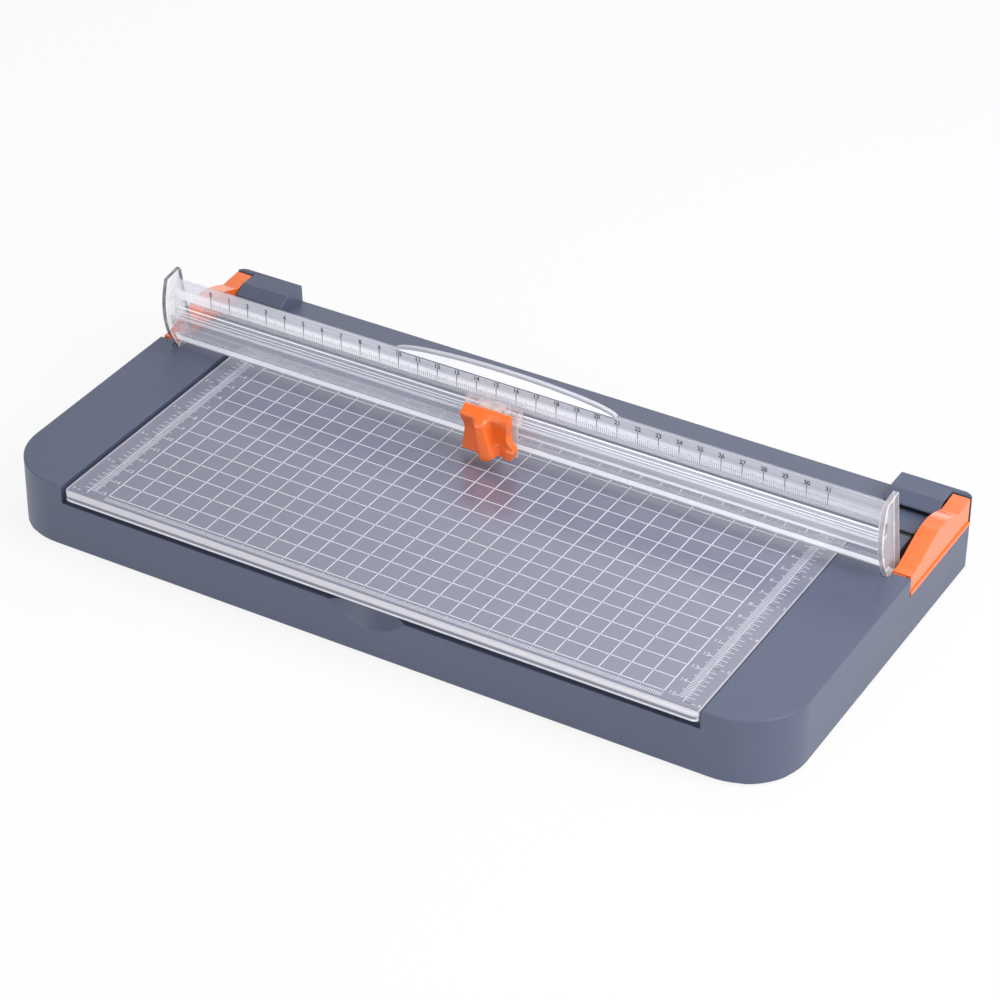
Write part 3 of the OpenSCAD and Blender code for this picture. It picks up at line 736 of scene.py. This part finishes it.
class BarRow(Graph):
    """Geometry Nodes tree that lays a row of thin bars, with longer ones at every fifth and tenth."""

    INPUTS = {"Count": "Int", "Step": "Vector", "Width": "Float", "Thickness": "Float", "Short": "Float",
              "Middle": "Float", "Long": "Float", "Ink": "Material"}

    def __init__(self) -> None:
        """Builds the tree once."""
        super().__init__(bpy.data.node_groups.new("bar_row", "GeometryNodeTree"))
        face = self.tree.interface
        face.new_socket(name="Geometry", in_out="OUTPUT", socket_type="NodeSocketGeometry")
        self.sockets = {}
        for name, kind in self.INPUTS.items():
            socket = face.new_socket(name=name, in_out="INPUT", socket_type="NodeSocket" + kind)
            self.sockets[name] = socket.identifier
        given = self.node("NodeGroupInput").outputs
        line = self.node("GeometryNodeMeshLine", {"mode": "OFFSET", "count_mode": "TOTAL"},
                         {"Count": given["Count"], "Offset": given["Step"]})
        size = self.node("ShaderNodeCombineXYZ", None,
                         {"X": given["Width"], "Y": 1.0, "Z": given["Thickness"]})
        bar = self.node("GeometryNodeMeshCube", None, {"Size": size.outputs[0]})
        hung = self.node("GeometryNodeTransform", None,
                         {"Geometry": bar.outputs["Mesh"], "Translation": (0.0, 0.5, 0.0)})
        number = self.wire("GeometryNodeInputIndex", 0)
        short, middle, long = (Wire(self.tree, given[name]) for name in ("Short", "Middle", "Long"))
        fifth = (number % 5.0 < 0.5) * (middle - short)
        tenth = (number % 10.0 < 0.5) * (long - middle)
        scale = self.node("ShaderNodeCombineXYZ", None, {"X": 1.0, "Y": short + (fifth + tenth), "Z": 1.0})
        spread = self.node("GeometryNodeInstanceOnPoints", None, {
            "Points": line.outputs["Mesh"], "Instance": hung.outputs["Geometry"], "Scale": scale.outputs[0]})
        real = self.node("GeometryNodeRealizeInstances", None, {"Geometry": spread.outputs["Instances"]})
        dressed = self.node("GeometryNodeSetMaterial", None,
                            {"Geometry": real.outputs["Geometry"], "Material": given["Ink"]})
        self.node("NodeGroupOutput", None, {"Geometry": dressed.outputs["Geometry"]})

    def lay(self, ink: bpy.types.Material, count: int, step: Sequence[float], width: float,
            lengths: Union[float, Point]) -> bpy.types.Mesh:
        """Lays one row, whose first bar has its foot at the origin.

        Args:
            ink: The bars' material.
            count: Number of bars.
            step: Step to the next bar, in millimetres.
            width: Width of a bar, in millimetres.
            lengths: Length of a plain, a fifth and a tenth bar, or one for all, in millimetres.

        Returns:
            The row as a plain mesh in metres, with its bars reaching along +Y.
        """
        piece = put("row", bpy.data.meshes.new("row"))
        rule = piece.modifiers.new("row", "NODES")
        rule.node_group = self.tree
        short, middle, long = lengths if isinstance(lengths, tuple) else (lengths,) * 3
        values = {"Count": count, "Step": tuple(s * MM for s in step), "Width": width * MM,
                  "Thickness": FILM * MM, "Short": short * MM, "Middle": middle * MM, "Long": long * MM,
                  "Ink": ink}
        for name, value in values.items():
            rule[self.sockets[name]] = value
        return evaluated(piece)


def numeral(number: int, height: float, weight: float = 0.0) -> bpy.types.Mesh:
    """A flat numeral around its own origin.

    Args:
        number: The number.
        height: Height of its digits, in millimetres.
        weight: How much each stroke is thickened to either side, in millimetres.

    Returns:
        Its mesh in metres.
    """
    curve = bpy.data.curves.new("numeral", "FONT")
    curve.body = str(number)
    curve.size = height * MM / DIGIT_SHARE
    curve.align_x = "CENTER"
    curve.align_y = "CENTER"
    curve.offset = weight * MM
    curve.resolution_u = 3
    return evaluated(put("numeral", curve))


def at(x: float, y: float, z: float) -> Matrix:
    """A place in millimetres."""
    return Matrix.Translation(Vector((x, y, z)) * MM)


def clamp(t: float) -> float:
    """A share, kept between nought and one."""
    return min(1.0, max(0.0, t))


def ease(t: float) -> float:
    """A smooth step from nought to one."""
    t = clamp(t)
    return t * t * (3 - 2 * t)


def part_way(low: float, high: float, t: float) -> float:
    """A value part of the way from one to another."""
    return low + (high - low) * t


def least(a: float, b: float, soft: float) -> float:
    """The lesser of two values, rounded over where they meet."""
    return min(a, b) - max(0.0, soft - abs(a - b)) ** 2 / (4 * soft)


# Sub-assemblies


@dataclass
class Unit:
    """A sub-assembly, with the finishes that its pieces take."""

    finish: Finishes

    def paint(self, looks: dict[str, str]) -> None:
        """Gives CAD nodes, by name, their finishes."""
        for node, look in looks.items():
            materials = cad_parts[node].data.materials
            materials.clear()
            materials.append(self.finish[look])
            LOG.info("node %s keeps its solid", node)


@dataclass
class BaseUnit(Unit):
    """The base moulding, its cover, feet and metal.

    An edge of the lever pockets lies behind, below and outside the values of `pocket`, and a plain one of
    the rear wall behind, below and inside those of `rear`. These stay sharp. Edges above `rim` show, as do
    those at the height of the front wall's `gap`, at the `foot` of the outer `walls` and at the `notch` for
    a lever.
    """

    edge: float = 0.6
    steps: int = 4
    sharp: float = 30.0
    limit: float = 23.5
    pocket: Point = (78.5, 32.0, 156.0)
    rear: Point = (96.5, 29.0, 155.2)
    rim: float = 28.2
    front: float = -94.9
    gap: float = 23.8
    foot: float = 1.6
    walls: Pair = (187.9, 93.0)
    notch: Pair = (189.9, 22.5)

    def _rims(self, a: Vector, b: Vector) -> bool:
        """Tells the edges of the base that show from the others, by their ends."""
        low, high = sorted((a.z, b.z))
        near, far = sorted((a.y, b.y))
        inner, outer = sorted((abs(a.x), abs(b.x)))
        behind, below, outside = self.pocket
        if near > behind and high < below and inner > outside:
            return False
        behind, below, inside = self.rear
        if near > behind and high < below and outer < inside:
            return False
        if low > self.rim:
            return True
        if far < self.front and high < self.gap + SLACK and low > self.gap - SLACK:
            return True
        if high < self.foot:
            wide, deep = self.walls
            return outer > wide or max(abs(near), abs(far)) > deep
        outside, above = self.notch
        return outer > outside and low > above

    def dress(self) -> None:
        """Replaces the moulding by its softened copy and gives the fittings their finish."""
        mesh = softened("base_shell", self.edge, self._rims, self.sharp, self.steps, self.limit)
        show("base_moulding", mesh, self.finish["slate_moulding"], Body.BASE, Slot.BASE, "base_shell")
        self.paint({"bottom_cover": "slate_moulding", "bottom_screws": "plain_steel",
                    "rubber_feet": "foot_rubber", "cutting_strip": "black_moulding",
                    "hinge_pins": "plain_steel"})


@dataclass
class Lid(Unit):
    """The gridded lid and its print.

    Rows count centimetres from the cutting line `cut`. A scale's bars have a width and their lengths, and
    its digits a place to either side of the middle and a height.
    """

    rows: BarRow
    middle: float = 1.6
    top: float = 32.6
    cut: float = 60.0
    rear: float = 42.4
    cell: float = 10.0
    first_row: int = 3
    last_row: int = 15
    grid_half: float = 135.0
    line: float = 0.5
    dot: float = 0.36
    dots: Point = (2.3, 2.3, 2.9)
    dots_drop: float = 4.0
    scale_half: float = 144.8
    spine: float = 0.45
    spine_tail: float = 3.0
    tick: float = 0.34
    ticks: Point = (3.2, 4.2, 5.4)
    eighth: float = 3.6
    sixteenth: Pair = (0.22, 1.5)
    inch: Pair = (0.36, 5.2)
    first_inch: int = 2
    last_inch: int = 6
    first_digit: int = 4
    row_digits: Pair = (138.3, 2.3)
    inch_digits: Pair = (151.8, 1.8)
    digit_lift: float = 0.2

    def dress(self) -> None:
        """Frosts the lid and lays its print."""
        self.paint({"grid_lid": "frosted_lid"})
        show("lid_print", joined(self._grid() + self._scales() + list(self._numerals())),
             self.finish["white_print"], Body.LID, Slot.LID)

    def _row_y(self, number: float) -> float:
        """Place of a centimetre row."""
        return self.cut - self.cell * number

    def _bars(self, count: int, start: Pair, step: Pair, width: float, lengths: Union[float, Point],
              turn: float = 0.0) -> Placed:
        """One printed row, with its count, step, width and lengths as BarRow.lay has them.

        Args:
            count: Number of bars.
            start: Foot of the first bar.
            step: Step to the next.
            width: Width of a bar.
            lengths: Length of a bar.
            turn: Direction of the bars from +Y, in degrees.

        Returns:
            The row's mesh and its place.
        """
        spin = Matrix.Rotation(math.radians(turn), 4, "Z")
        local = spin.to_3x3().inverted() @ Vector((*step, 0.0))
        mesh = self.rows.lay(self.finish["white_print"], count, local, width, lengths)
        return mesh, at(*start, self.top + FILM / 2) @ spin

    def _grid(self) -> list[Placed]:
        """The centimetre grid, its border and the fine front scale."""
        front = self._row_y(self.last_row)
        left = self.middle - self.grid_half
        across = 2 * self.grid_half
        columns = int(across / self.cell) + 1
        count = self.last_row - self.first_row + 1
        return [
            self._bars(columns, (left, front), (self.cell, 0.0), self.line, self.rear - front),
            self._bars(count, (left, front), (0.0, self.cell), self.line, across, -90),
            self._bars(int(across) + 1, (left, front - self.dots_drop), (1.0, 0.0), self.dot, self.dots),
        ]

    def _scales(self) -> list[Placed]:
        """The centimetre and inch scales on both sides of the grid."""
        made = []
        front = self._row_y(self.last_row)
        deep = self.rear - front
        tail = self.spine_tail
        part = INCH / 8
        start = self.cut - INCH * self.last_inch
        parts = int((self.rear - start) / part) + 1
        inches = self.last_inch - self.first_inch + 1
        fine, short = self.sixteenth
        broad, long = self.inch
        for side in (-1, 1):
            x = self.middle + side * self.scale_half
            made += [
                self._bars(1, (x, front - tail), (1.0, 0.0), self.spine, deep + tail),
                self._bars(int(deep), (x, front), (0.0, 1.0), self.tick, self.ticks, 90 * side),
                self._bars(parts, (x, start), (0.0, part), self.tick, self.eighth, -90 * side),
                self._bars(parts, (x, start + part / 2), (0.0, part), fine, short, -90 * side),
                self._bars(inches, (x, start), (0.0, INCH), broad, long, -90 * side),
            ]
        return made

    def _numerals(self) -> Iterator[Placed]:
        """The scales' numerals."""
        for side in (-1, 1):
            off, height = self.row_digits
            for n in range(self.first_digit, self.last_row + 1):
                yield self._digits(n, height, side * off, self._row_y(n))
            off, height = self.inch_digits
            for n in range(self.first_inch, self.last_inch + 1):
                yield self._digits(n, height, side * off, self.cut - INCH * n)

    def _digits(self, number: int, height: float, off: float, y: float) -> Placed:
        """One numeral at a place off the middle."""
        return numeral(number, height), at(self.middle + off, y + self.digit_lift, self.top + FILM)


@dataclass
class RulerArm(Unit):
    """The clear arm, its end caps and its scale.

    The print lies on the plane `sheet`, in front of the hinge. Its ticks rise from `foot`, and its numerals
    have a height above the hinge, a height of their own and a weight. `square` tells a cap's faces from its
    rim, by how far they look along the arm.
    """

    rows: BarRow
    sheet: float = 4.03
    foot: float = 27.8
    tick: float = 0.16
    ticks: Point = (2.7, 3.6, 2.7)
    mark: Pair = (0.34, 6.4)
    numerals: Point = (35.3, 2.1, 0.1)
    zero: float = -159.9
    centimetres: int = 31
    cap_edge: float = 0.4
    cap_sharp: float = 40.0
    square: Pair = (0.95, 0.15)

    def point(self, x: float, n: float, a: float) -> Vector:
        """A place at rest in metres, from millimetres along the arm, in front of and above the hinge."""
        return Vector((x, HINGE_Y - n, HINGE_Z + a)) * MM

    def dress(self) -> None:
        """Gives the arm its finish, its end caps and its scale."""
        self.paint({"ruler_beam": "clear_arm"})
        for side in ("left", "right"):
            node = side + "_end_cap"
            mesh = self._cap(node, self.finish[side + "_cap_rim"])
            show(side + "_cap_plate", mesh, None, Body.ARM, Slot.CLEAR, node)
        self.paint({"arm_bushes": "natural_bush", "clamp_strip": "clamp_rubber"})
        show("ruler_print", joined(self._scale()), self.finish["black_print"], Body.ARM, Slot.CLEAR)

    def _cap(self, node: str, rim: bpy.types.Material) -> bpy.types.Mesh:
        """An end cap with softened edges, painted shading on its rim and a painted highlight on the edges
        beside it.
        """
        mesh = softened(node, self.cap_edge, lambda a, b: True, self.cap_sharp)
        mesh.materials.clear()
        for material in (self.finish["clear_cap"], rim, self.finish["cap_edge"]):
            mesh.materials.append(material)
        face_on, edge_on = self.square
        for face in mesh.polygons:
            side = abs(face.normal.x)
            face.material_index = 0 if side > face_on else 1 if side < edge_on else 2
        return mesh

    def _scale(self) -> Iterator[Placed]:
        """Millimetre ticks and centimetre numerals, printed on the back face and read through the bevel."""
        ink = self.finish["black_print"]
        place = Matrix.Translation(self.point(0, self.sheet, 0)) @ Matrix.Rotation(math.radians(90), 4, "X")
        start = place @ at(self.zero, self.foot, FILM / 2)
        broad, long = self.mark
        yield self.rows.lay(ink, self.centimetres * 10 + 1, (1.0, 0.0, 0.0), self.tick, self.ticks), start
        yield self.rows.lay(ink, self.centimetres + 1, (10.0, 0.0, 0.0), broad, long), start
        rise, height, weight = self.numerals
        for n in range(self.centimetres + 1):
            yield numeral(n, height, weight), place @ at(self.zero + 10 * n, rise, FILM)


@dataclass
class CutterHead(Unit):
    """The sliding head: runner, grip, springs and blade.

    The grip is worked out over its back: u runs across it from its middle, a rises from the hinge, and a
    reach is how far its front stands out. Two wings with finger scoops lie beside a fin. A `brow` is a reach
    and a height, and of a pair of `brow_soft`, `flare` or `lift` the first is for the left wing. `splay` is
    how far the right side's foot stands out, where it does most and how soon that fades above. `step` is a
    ledge's height, start and reach in the right wing. A rod is a length and a radius, and a crease the least
    angle that stays sharp.
    """

    arm: RulerArm
    x: float = -7.4
    half: float = 11.8
    back: float = 14.6
    foot: float = 6.0
    top: float = 29.2
    roof: float = 1.0
    brow: Pair = (5.2, 26.6)
    brow_soft: Pair = (0.4, 4.0)
    brow_drop: float = 1.6
    sheet: float = 1.8
    chin: float = 18.0
    flare: Pair = (1.6, 3.0)
    flare_bow: float = 1.4
    rim: float = 5.2
    rim_soft: float = 1.4
    rim_start: float = 3.4
    rim_bow: float = 1.2
    change: Pair = (1.0, 2.5)
    waist: float = 0.5
    splay: Point = (4.2, 10.8, 9.0)
    splay_fall: float = 0.35
    tuck: Pair = (1.8, 1.2)
    step: Point = (15.2, 4.5, 0.8)
    step_soft: Pair = (0.9, 1.5)
    crest: float = -1.2
    lean: float = 2.0
    fin_reach: float = 8.5
    fin_soft: float = 1.6
    fin_left: float = 3.6
    fin_right: Pair = (3.6, 6.2)
    fin_fall: Pair = (0.3, 1.5)
    fin_edge: Pair = (0.9, 2.4)
    nose: Pair = (5.0, 2.4)
    lift: Pair = (1.4, 4.2)
    lift_run: Point = (5.0, 1.5, 8.5)
    edge: float = 0.35
    edge_steps: int = 3
    crease: float = 40.0
    coil_crease: float = 60.0
    cells: tuple[int, int] = (64, 52)
    seat: Point = (9.0, 13.6, 24.5)
    seat_rod: Pair = (3.4, 1.5)
    room: Pair = (10.4, 26.3)
    room_rod: Pair = (1.4, 6.2)
    rod_sides: int = 40
    stroke: float = 1.6

    def dress(self) -> None:
        """Shapes the grip and gives the rest its finish."""
        self.paint({"slider_runner": "hazy_shoe", "blade_holder": "hazy_holder",
                    "blade_wheel": "plain_steel", "blade_axle": "plain_steel",
                    "blade_washers": "plain_steel"})
        show("grip_moulding", self._grip(), self.finish["orange_moulding"], Body.GRIP, Slot.ORANGE,
             "slider_grip")
        coils = show("spring_coils", self._coils(), self.finish["plain_steel"], Body.SLIDER, Slot.STEEL,
                     "grip_springs")
        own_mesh(coils)

    def _coils(self) -> bpy.types.Mesh:
        """The two springs, their wire shaded round."""
        coil = welded("grip_springs")
        bmesh.ops.recalc_face_normals(coil, faces=coil.faces)
        mesh = as_mesh(coil, "coils")
        smooth(mesh, self.coil_crease)
        return mesh

    def _roof(self, a: float) -> float:
        """Reach of the roof's plane at a height."""
        reach, brow_a = self.brow
        return part_way(self.roof, reach, (self.top - a) / (self.top - brow_a))

    def _wing(self, u: float, a: float) -> float:
        """Reach of a wing: a brow over a scoop that flares towards its foot, and a raised rim on the right.

        Args:
            u: Place across the grip.
            a: Height above the hinge.

        Returns:
            How far it stands in front of the grip's back.
        """
        early, width = self.change
        right = ease((u - self.crest + early) / width)
        reach, brow_a = self.brow
        reach -= self.brow_drop * right
        scoop = part_way(self.sheet, reach, ease((a - self.chin) / (brow_a - self.chin)))
        if a < self.chin:
            fall = (self.chin - a) / (self.chin - self.foot)
            scoop += part_way(*self.flare, right) * fall ** self.flare_bow
        inner = self.crest + self.rim_start
        t = clamp((u - inner) / (self.half - inner)) ** self.rim_bow
        rim = part_way(self.sheet - self.rim_soft, self.rim, t)
        scoop = -least(-scoop, -rim, self.rim_soft)
        return least(self._roof(a), scoop, part_way(*self.brow_soft, right))

    def _fin(self, a: float) -> float:
        """Reach of the fin's crest at a height: it carries the roof on, and has a round nose at its foot."""
        tall, back = self.nose
        low = max(0.0, (self.foot + tall - a) / tall)
        round_off = 1 - math.sqrt(max(0.0, 1 - low * low))
        return least(self._roof(a), self.fin_reach, self.fin_soft) - back * round_off

    def _sides(self, a: float) -> Pair:
        """The grip's left and right side at a height: a slight waist, and a splayed foot on the right."""
        t = clamp((a - self.foot) / (self.brow[1] - self.foot))
        waist = self.waist * math.sin(t * math.pi) ** 2
        out, peak, over = self.splay
        below = 1 - self.splay_fall * (peak - a) / (peak - self.foot)
        share = ease(1 - (a - peak) / over) if a > peak else below
        return -self.half + waist, self.half - waist + out * share

    def _reach(self, u: float, a: float) -> float:
        """Reach of the grip's front at a place across it and a height."""
        below, start, ledge = self.step
        soft_a, soft_u = self.step_soft
        wing = self._wing(u, a) + ledge * ease((below - a) / soft_a) * ease((u - start) / soft_u)
        middle = (self.top + self.foot) / 2
        off = u - self.crest - self.lean * (middle - a) / (middle - self.foot)
        if off < 0:
            share = 1 - ease(-off / self.fin_left)
        else:
            broad = part_way(*self.fin_right, ease((self.top - a) / (self.top - self.foot)))
            fall, bow = self.fin_fall
            early, width = self.fin_edge
            share = (1 - fall * min(1.0, off / broad) ** bow) * (1 - ease((off - broad + early) / width))
        return wing + max(0.0, self._fin(a) - wing) * share

    def _foot(self, u: float) -> float:
        """How far a wing's lower edge stands above the fin's nose at a place across the grip."""
        left, right = self.lift
        near, start, far = self.lift_run
        off = u - self.crest
        return left * ease(-off / near) if off < 0 else right * ease((off - start) / far)

    def _grip(self) -> bpy.types.Mesh:
        """The grip as a closed form with two finger scoops, and its seats for the springs and the blade."""
        across, up = self.cells
        form = bmesh.new()
        front, rear = [], []
        for j in range(up + 1):
            row = part_way(self.foot, self.top, j / up)
            line, flat = [], []
            for i in range(across + 1):
                u = part_way(*self._sides(row), i / across)
                a = row + self._foot(u) * (1 - j / up)
                tuck, soft = self.tuck
                behind = self.back + tuck * ease((u - self.half) / soft)
                line.append(form.verts.new(self.arm.point(self.x + u, self.back + self._reach(u, a), a)))
                flat.append(form.verts.new(self.arm.point(self.x + u, behind, a)))
            front.append(line)
            rear.append(flat)
        self._skin(form, front)
        self._skin(form, rear)
        for sides in zip(self._borders(front), self._borders(rear)):
            self._skin(form, sides)
        bmesh.ops.recalc_face_normals(form, faces=form.faces)
        rims = [edge for line in self._borders(front) for edge in self._chain(line)]
        rounded(form, rims, self.edge, self.edge_steps, True)
        return self._seated(as_mesh(form, "grip"))

    def _skin(self, form: bmesh.types.BMesh, rows: Sequence[Line]) -> None:
        """Lays faces between each row of points and the next."""
        for low, high in zip(rows, rows[1:]):
            for i in range(len(low) - 1):
                form.faces.new((low[i], low[i + 1], high[i + 1], high[i]))

    def _borders(self, rows: Sequence[Line]) -> tuple[Line, Line, Line, Line]:
        """The first and last row, and the first and last point of every row."""
        return rows[0], rows[-1], [row[0] for row in rows], [row[-1] for row in rows]

    def _chain(self, line: Line) -> list[bmesh.types.BMEdge]:
        """The edges between neighbours in a row of points."""
        return [e for a, b in zip(line, line[1:]) for e in a.link_edges if e.other_vert(a) is b]

    def _seated(self, mesh: bpy.types.Mesh) -> bpy.types.Mesh:
        """Cuts the springs' seats and the blade's room into the grip."""
        piece = put("grip_cut", mesh)
        off, n, a = self.seat
        tools = [self._rod((self.x + side * off, n, a), *self.seat_rod, True) for side in (-1, 1)]
        tools.append(self._rod((self.x, *self.room), *self.room_rod, False))
        for tool in tools:
            cut = piece.modifiers.new("seat", "BOOLEAN")
            cut.object = tool
            cut.solver = "EXACT"
        made = evaluated(piece)
        for tool in tools:
            data = tool.data
            bpy.data.objects.remove(tool)
            bpy.data.meshes.remove(data)
        smooth(made, self.crease)
        return made

    def _rod(self, foot: Point, length: float, radius: float, forward: bool) -> bpy.types.Object:
        """A round cutter.

        Args:
            foot: Middle of its foot, along, in front of and above the hinge.
            length: Its length.
            radius: Its radius.
            forward: Whether it points out of the arm, and not up along it.

        Returns:
            The scratch object.
        """
        rod = bmesh.new()
        bmesh.ops.create_cone(rod, cap_ends=True, segments=self.rod_sides, radius1=radius * MM,
                              radius2=radius * MM, depth=length * MM)
        turn = Matrix.Rotation(math.radians(90), 4, "X") if forward else Matrix.Identity(4)
        place = Matrix.Translation(self.arm.point(*foot))
        rod.transform(place @ turn @ at(0, 0, length / 2))
        tool = put("rod", as_mesh(rod, "rod"))
        tool.hide_render = True
        return tool


@dataclass
class Levers(Unit):
    """The two orange levers beside the arm, with the edges above their skirts softened."""

    edge: float = 0.45
    sharp: float = 30.0
    skirt: float = 24.5

    def _above(self, a: Vector, b: Vector) -> bool:
        """Tells the edges above the skirt's foot."""
        return min(a.z, b.z) > self.skirt

    def dress(self) -> None:
        """Replaces each lever by its softened copy."""
        for side, body in (("left", Body.LEFT_LIFT), ("right", Body.RIGHT_LIFT)):
            node = side + "_lever"
            mesh = softened(node, self.edge, self._above, self.sharp)
            show(node + "_moulding", mesh, self.finish["orange_moulding"], body, Slot.ORANGE, node)


# Studio


@dataclass(frozen=True)
class Lamp:
    """One softbox: where it hangs and what it points at, in metres, its side and its watts."""

    name: str
    place: Point
    aim: Point
    size: float
    power: float

    def hang(self) -> None:
        """Puts the softbox into the scene."""
        data = bpy.data.lights.new(self.name, "AREA")
        data.shape = "SQUARE"
        data.size = self.size
        data.energy = self.power
        lamp = put(self.name, data)
        lamp.location = self.place
        lamp.rotation_euler = (Vector(self.aim) - Vector(self.place)).to_track_quat("-Z", "Y").to_euler()


@dataclass
class Studio:
    """Camera, floor and lights.

    Glossy faces mirror a sky that is `mirror` by its height, times `mirror_peak`. It grows to the right from
    where `mirror_lean` has its place, by that gain, and falls off again by `mirror_fall`, to `mirror_least`.
    """

    place: Point = (0.601838, -1.041927, 0.837152)
    turn: Point = (55.9654, -0.5559, 30.0078)
    lens: float = 120.036
    sensor: float = 36.0
    clip: Pair = (0.05, 60.0)
    sky: float = 0.42
    mirror: Stops = (
        (0.0, 0.66), (0.16, 0.46), (0.25, 0.2), (0.36, 0.15), (0.48, 0.25), (0.56, 0.27), (0.64, 0.53),
        (0.72, 0.42), (0.84, 0.12), (1.0, 0.05))
    mirror_peak: float = 3.4
    mirror_lean: Pair = (0.42, 1.8)
    mirror_fall: Pair = (1.28, 1.2)
    mirror_least: float = 0.45
    floor_size: float = 8.0
    floor_drop: float = 0.0002
    floor_glow: float = 0.87
    floor_colour: Colour = (0.9, 0.9, 0.9)
    lamps: tuple[Lamp, ...] = (
        Lamp("key", (0.98, -0.05, 0.82), (0.05, 0.0, 0.0), 0.75, 11.0),
        Lamp("top", (0.2, 0.5, 1.9), (0.0, 0.0, 0.0), 1.4, 7.5),
        Lamp("front", (-0.2, -1.9, 0.9), (0.0, 0.0, 0.0), 1.3, 9.5))

    def camera(self) -> None:
        """The photograph's viewpoint."""
        data = bpy.data.cameras.new("view")
        data.sensor_width = self.sensor
        data.lens = self.lens
        data.clip_start, data.clip_end = self.clip
        eye = put("view", data)
        eye.location = self.place
        eye.rotation_euler = tuple(math.radians(t) for t in self.turn)
        bpy.context.scene.camera = eye

    def _seen(self, graph: Graph) -> Wire:
        """One for rays that see the background: from the camera, mirrored or through glass."""
        path = graph.node("ShaderNodeLightPath").outputs
        kinds = ("Is Camera Ray", "Is Glossy Ray", "Is Transmission Ray")
        camera, mirrored, through = (Wire(graph.tree, path[kind]) for kind in kinds)
        return camera.largest(mirrored).largest(through)

    def world(self) -> None:
        """Soft even light, white where it is seen, and mirrored as a backdrop brighter near the floor."""
        world = bpy.data.worlds.new("studio")
        bpy.context.scene.world = world
        world.use_nodes = True
        graph = Graph(world.node_tree)
        x, _, z = graph.axes("Generated")
        mirrored = graph.wire("ShaderNodeLightPath", "Is Glossy Ray")
        plain = self._seen(graph) * (1 - self.sky) + self.sky
        middle, gain = self.mirror_lean
        peak, fall = self.mirror_fall
        lean = ((x + middle) * gain + 1.0).smallest(peak - x * fall).largest(self.mirror_least)
        backdrop = graph.ramp(z, (0.0, 1.0), self.mirror) * lean * self.mirror_peak
        light = plain * (1 - mirrored) + backdrop * mirrored
        glow = graph.node("ShaderNodeBackground", None, {"Color": (1.0, 1.0, 1.0), "Strength": light})
        graph.node("ShaderNodeOutputWorld", None, {"Surface": glow.outputs[0]})

    def floor(self) -> None:
        """A plain pale floor that keeps a faint shadow."""
        p = Palette("studio_floor")
        matt = p.node("ShaderNodeBsdfDiffuse", None, {"Color": self.floor_colour})
        glow = p.node("ShaderNodeEmission", None, {"Color": (1.0, 1.0, 1.0), "Strength": 1.0})
        mix = p.node("ShaderNodeMixShader", None,
                     {0: self._seen(p) * self.floor_glow, 1: matt.outputs[0], 2: glow.outputs[0]})
        plane = bmesh.new()
        bmesh.ops.create_grid(plane, x_segments=1, y_segments=1, size=self.floor_size)
        mesh = as_mesh(plane, "studio_floor")
        mesh.materials.append(p.done(mix))
        ground = put("studio_floor", mesh)
        ground.location.z = -self.floor_drop

    def build(self) -> None:
        """Sets the whole studio."""
        bpy.context.scene.view_settings.view_transform = "Standard"
        self.camera()
        self.world()
        self.floor()
        for lamp in self.lamps:
            lamp.hang()


def main() -> None:
    """Builds the trimmer's looks in order."""
    logging.basicConfig(level=logging.INFO, format="%(name)s: %(message)s")
    Studio().build()
    finish = {look.name: look.make() for look in LOOKS}
    rows = BarRow()
    BaseUnit(finish).dress()
    Lid(finish, rows).dress()
    arm = RulerArm(finish, rows)
    arm.dress()
    CutterHead(finish, arm).dress()
    Levers(finish).dress()


if __name__ == "__main__":
    main()
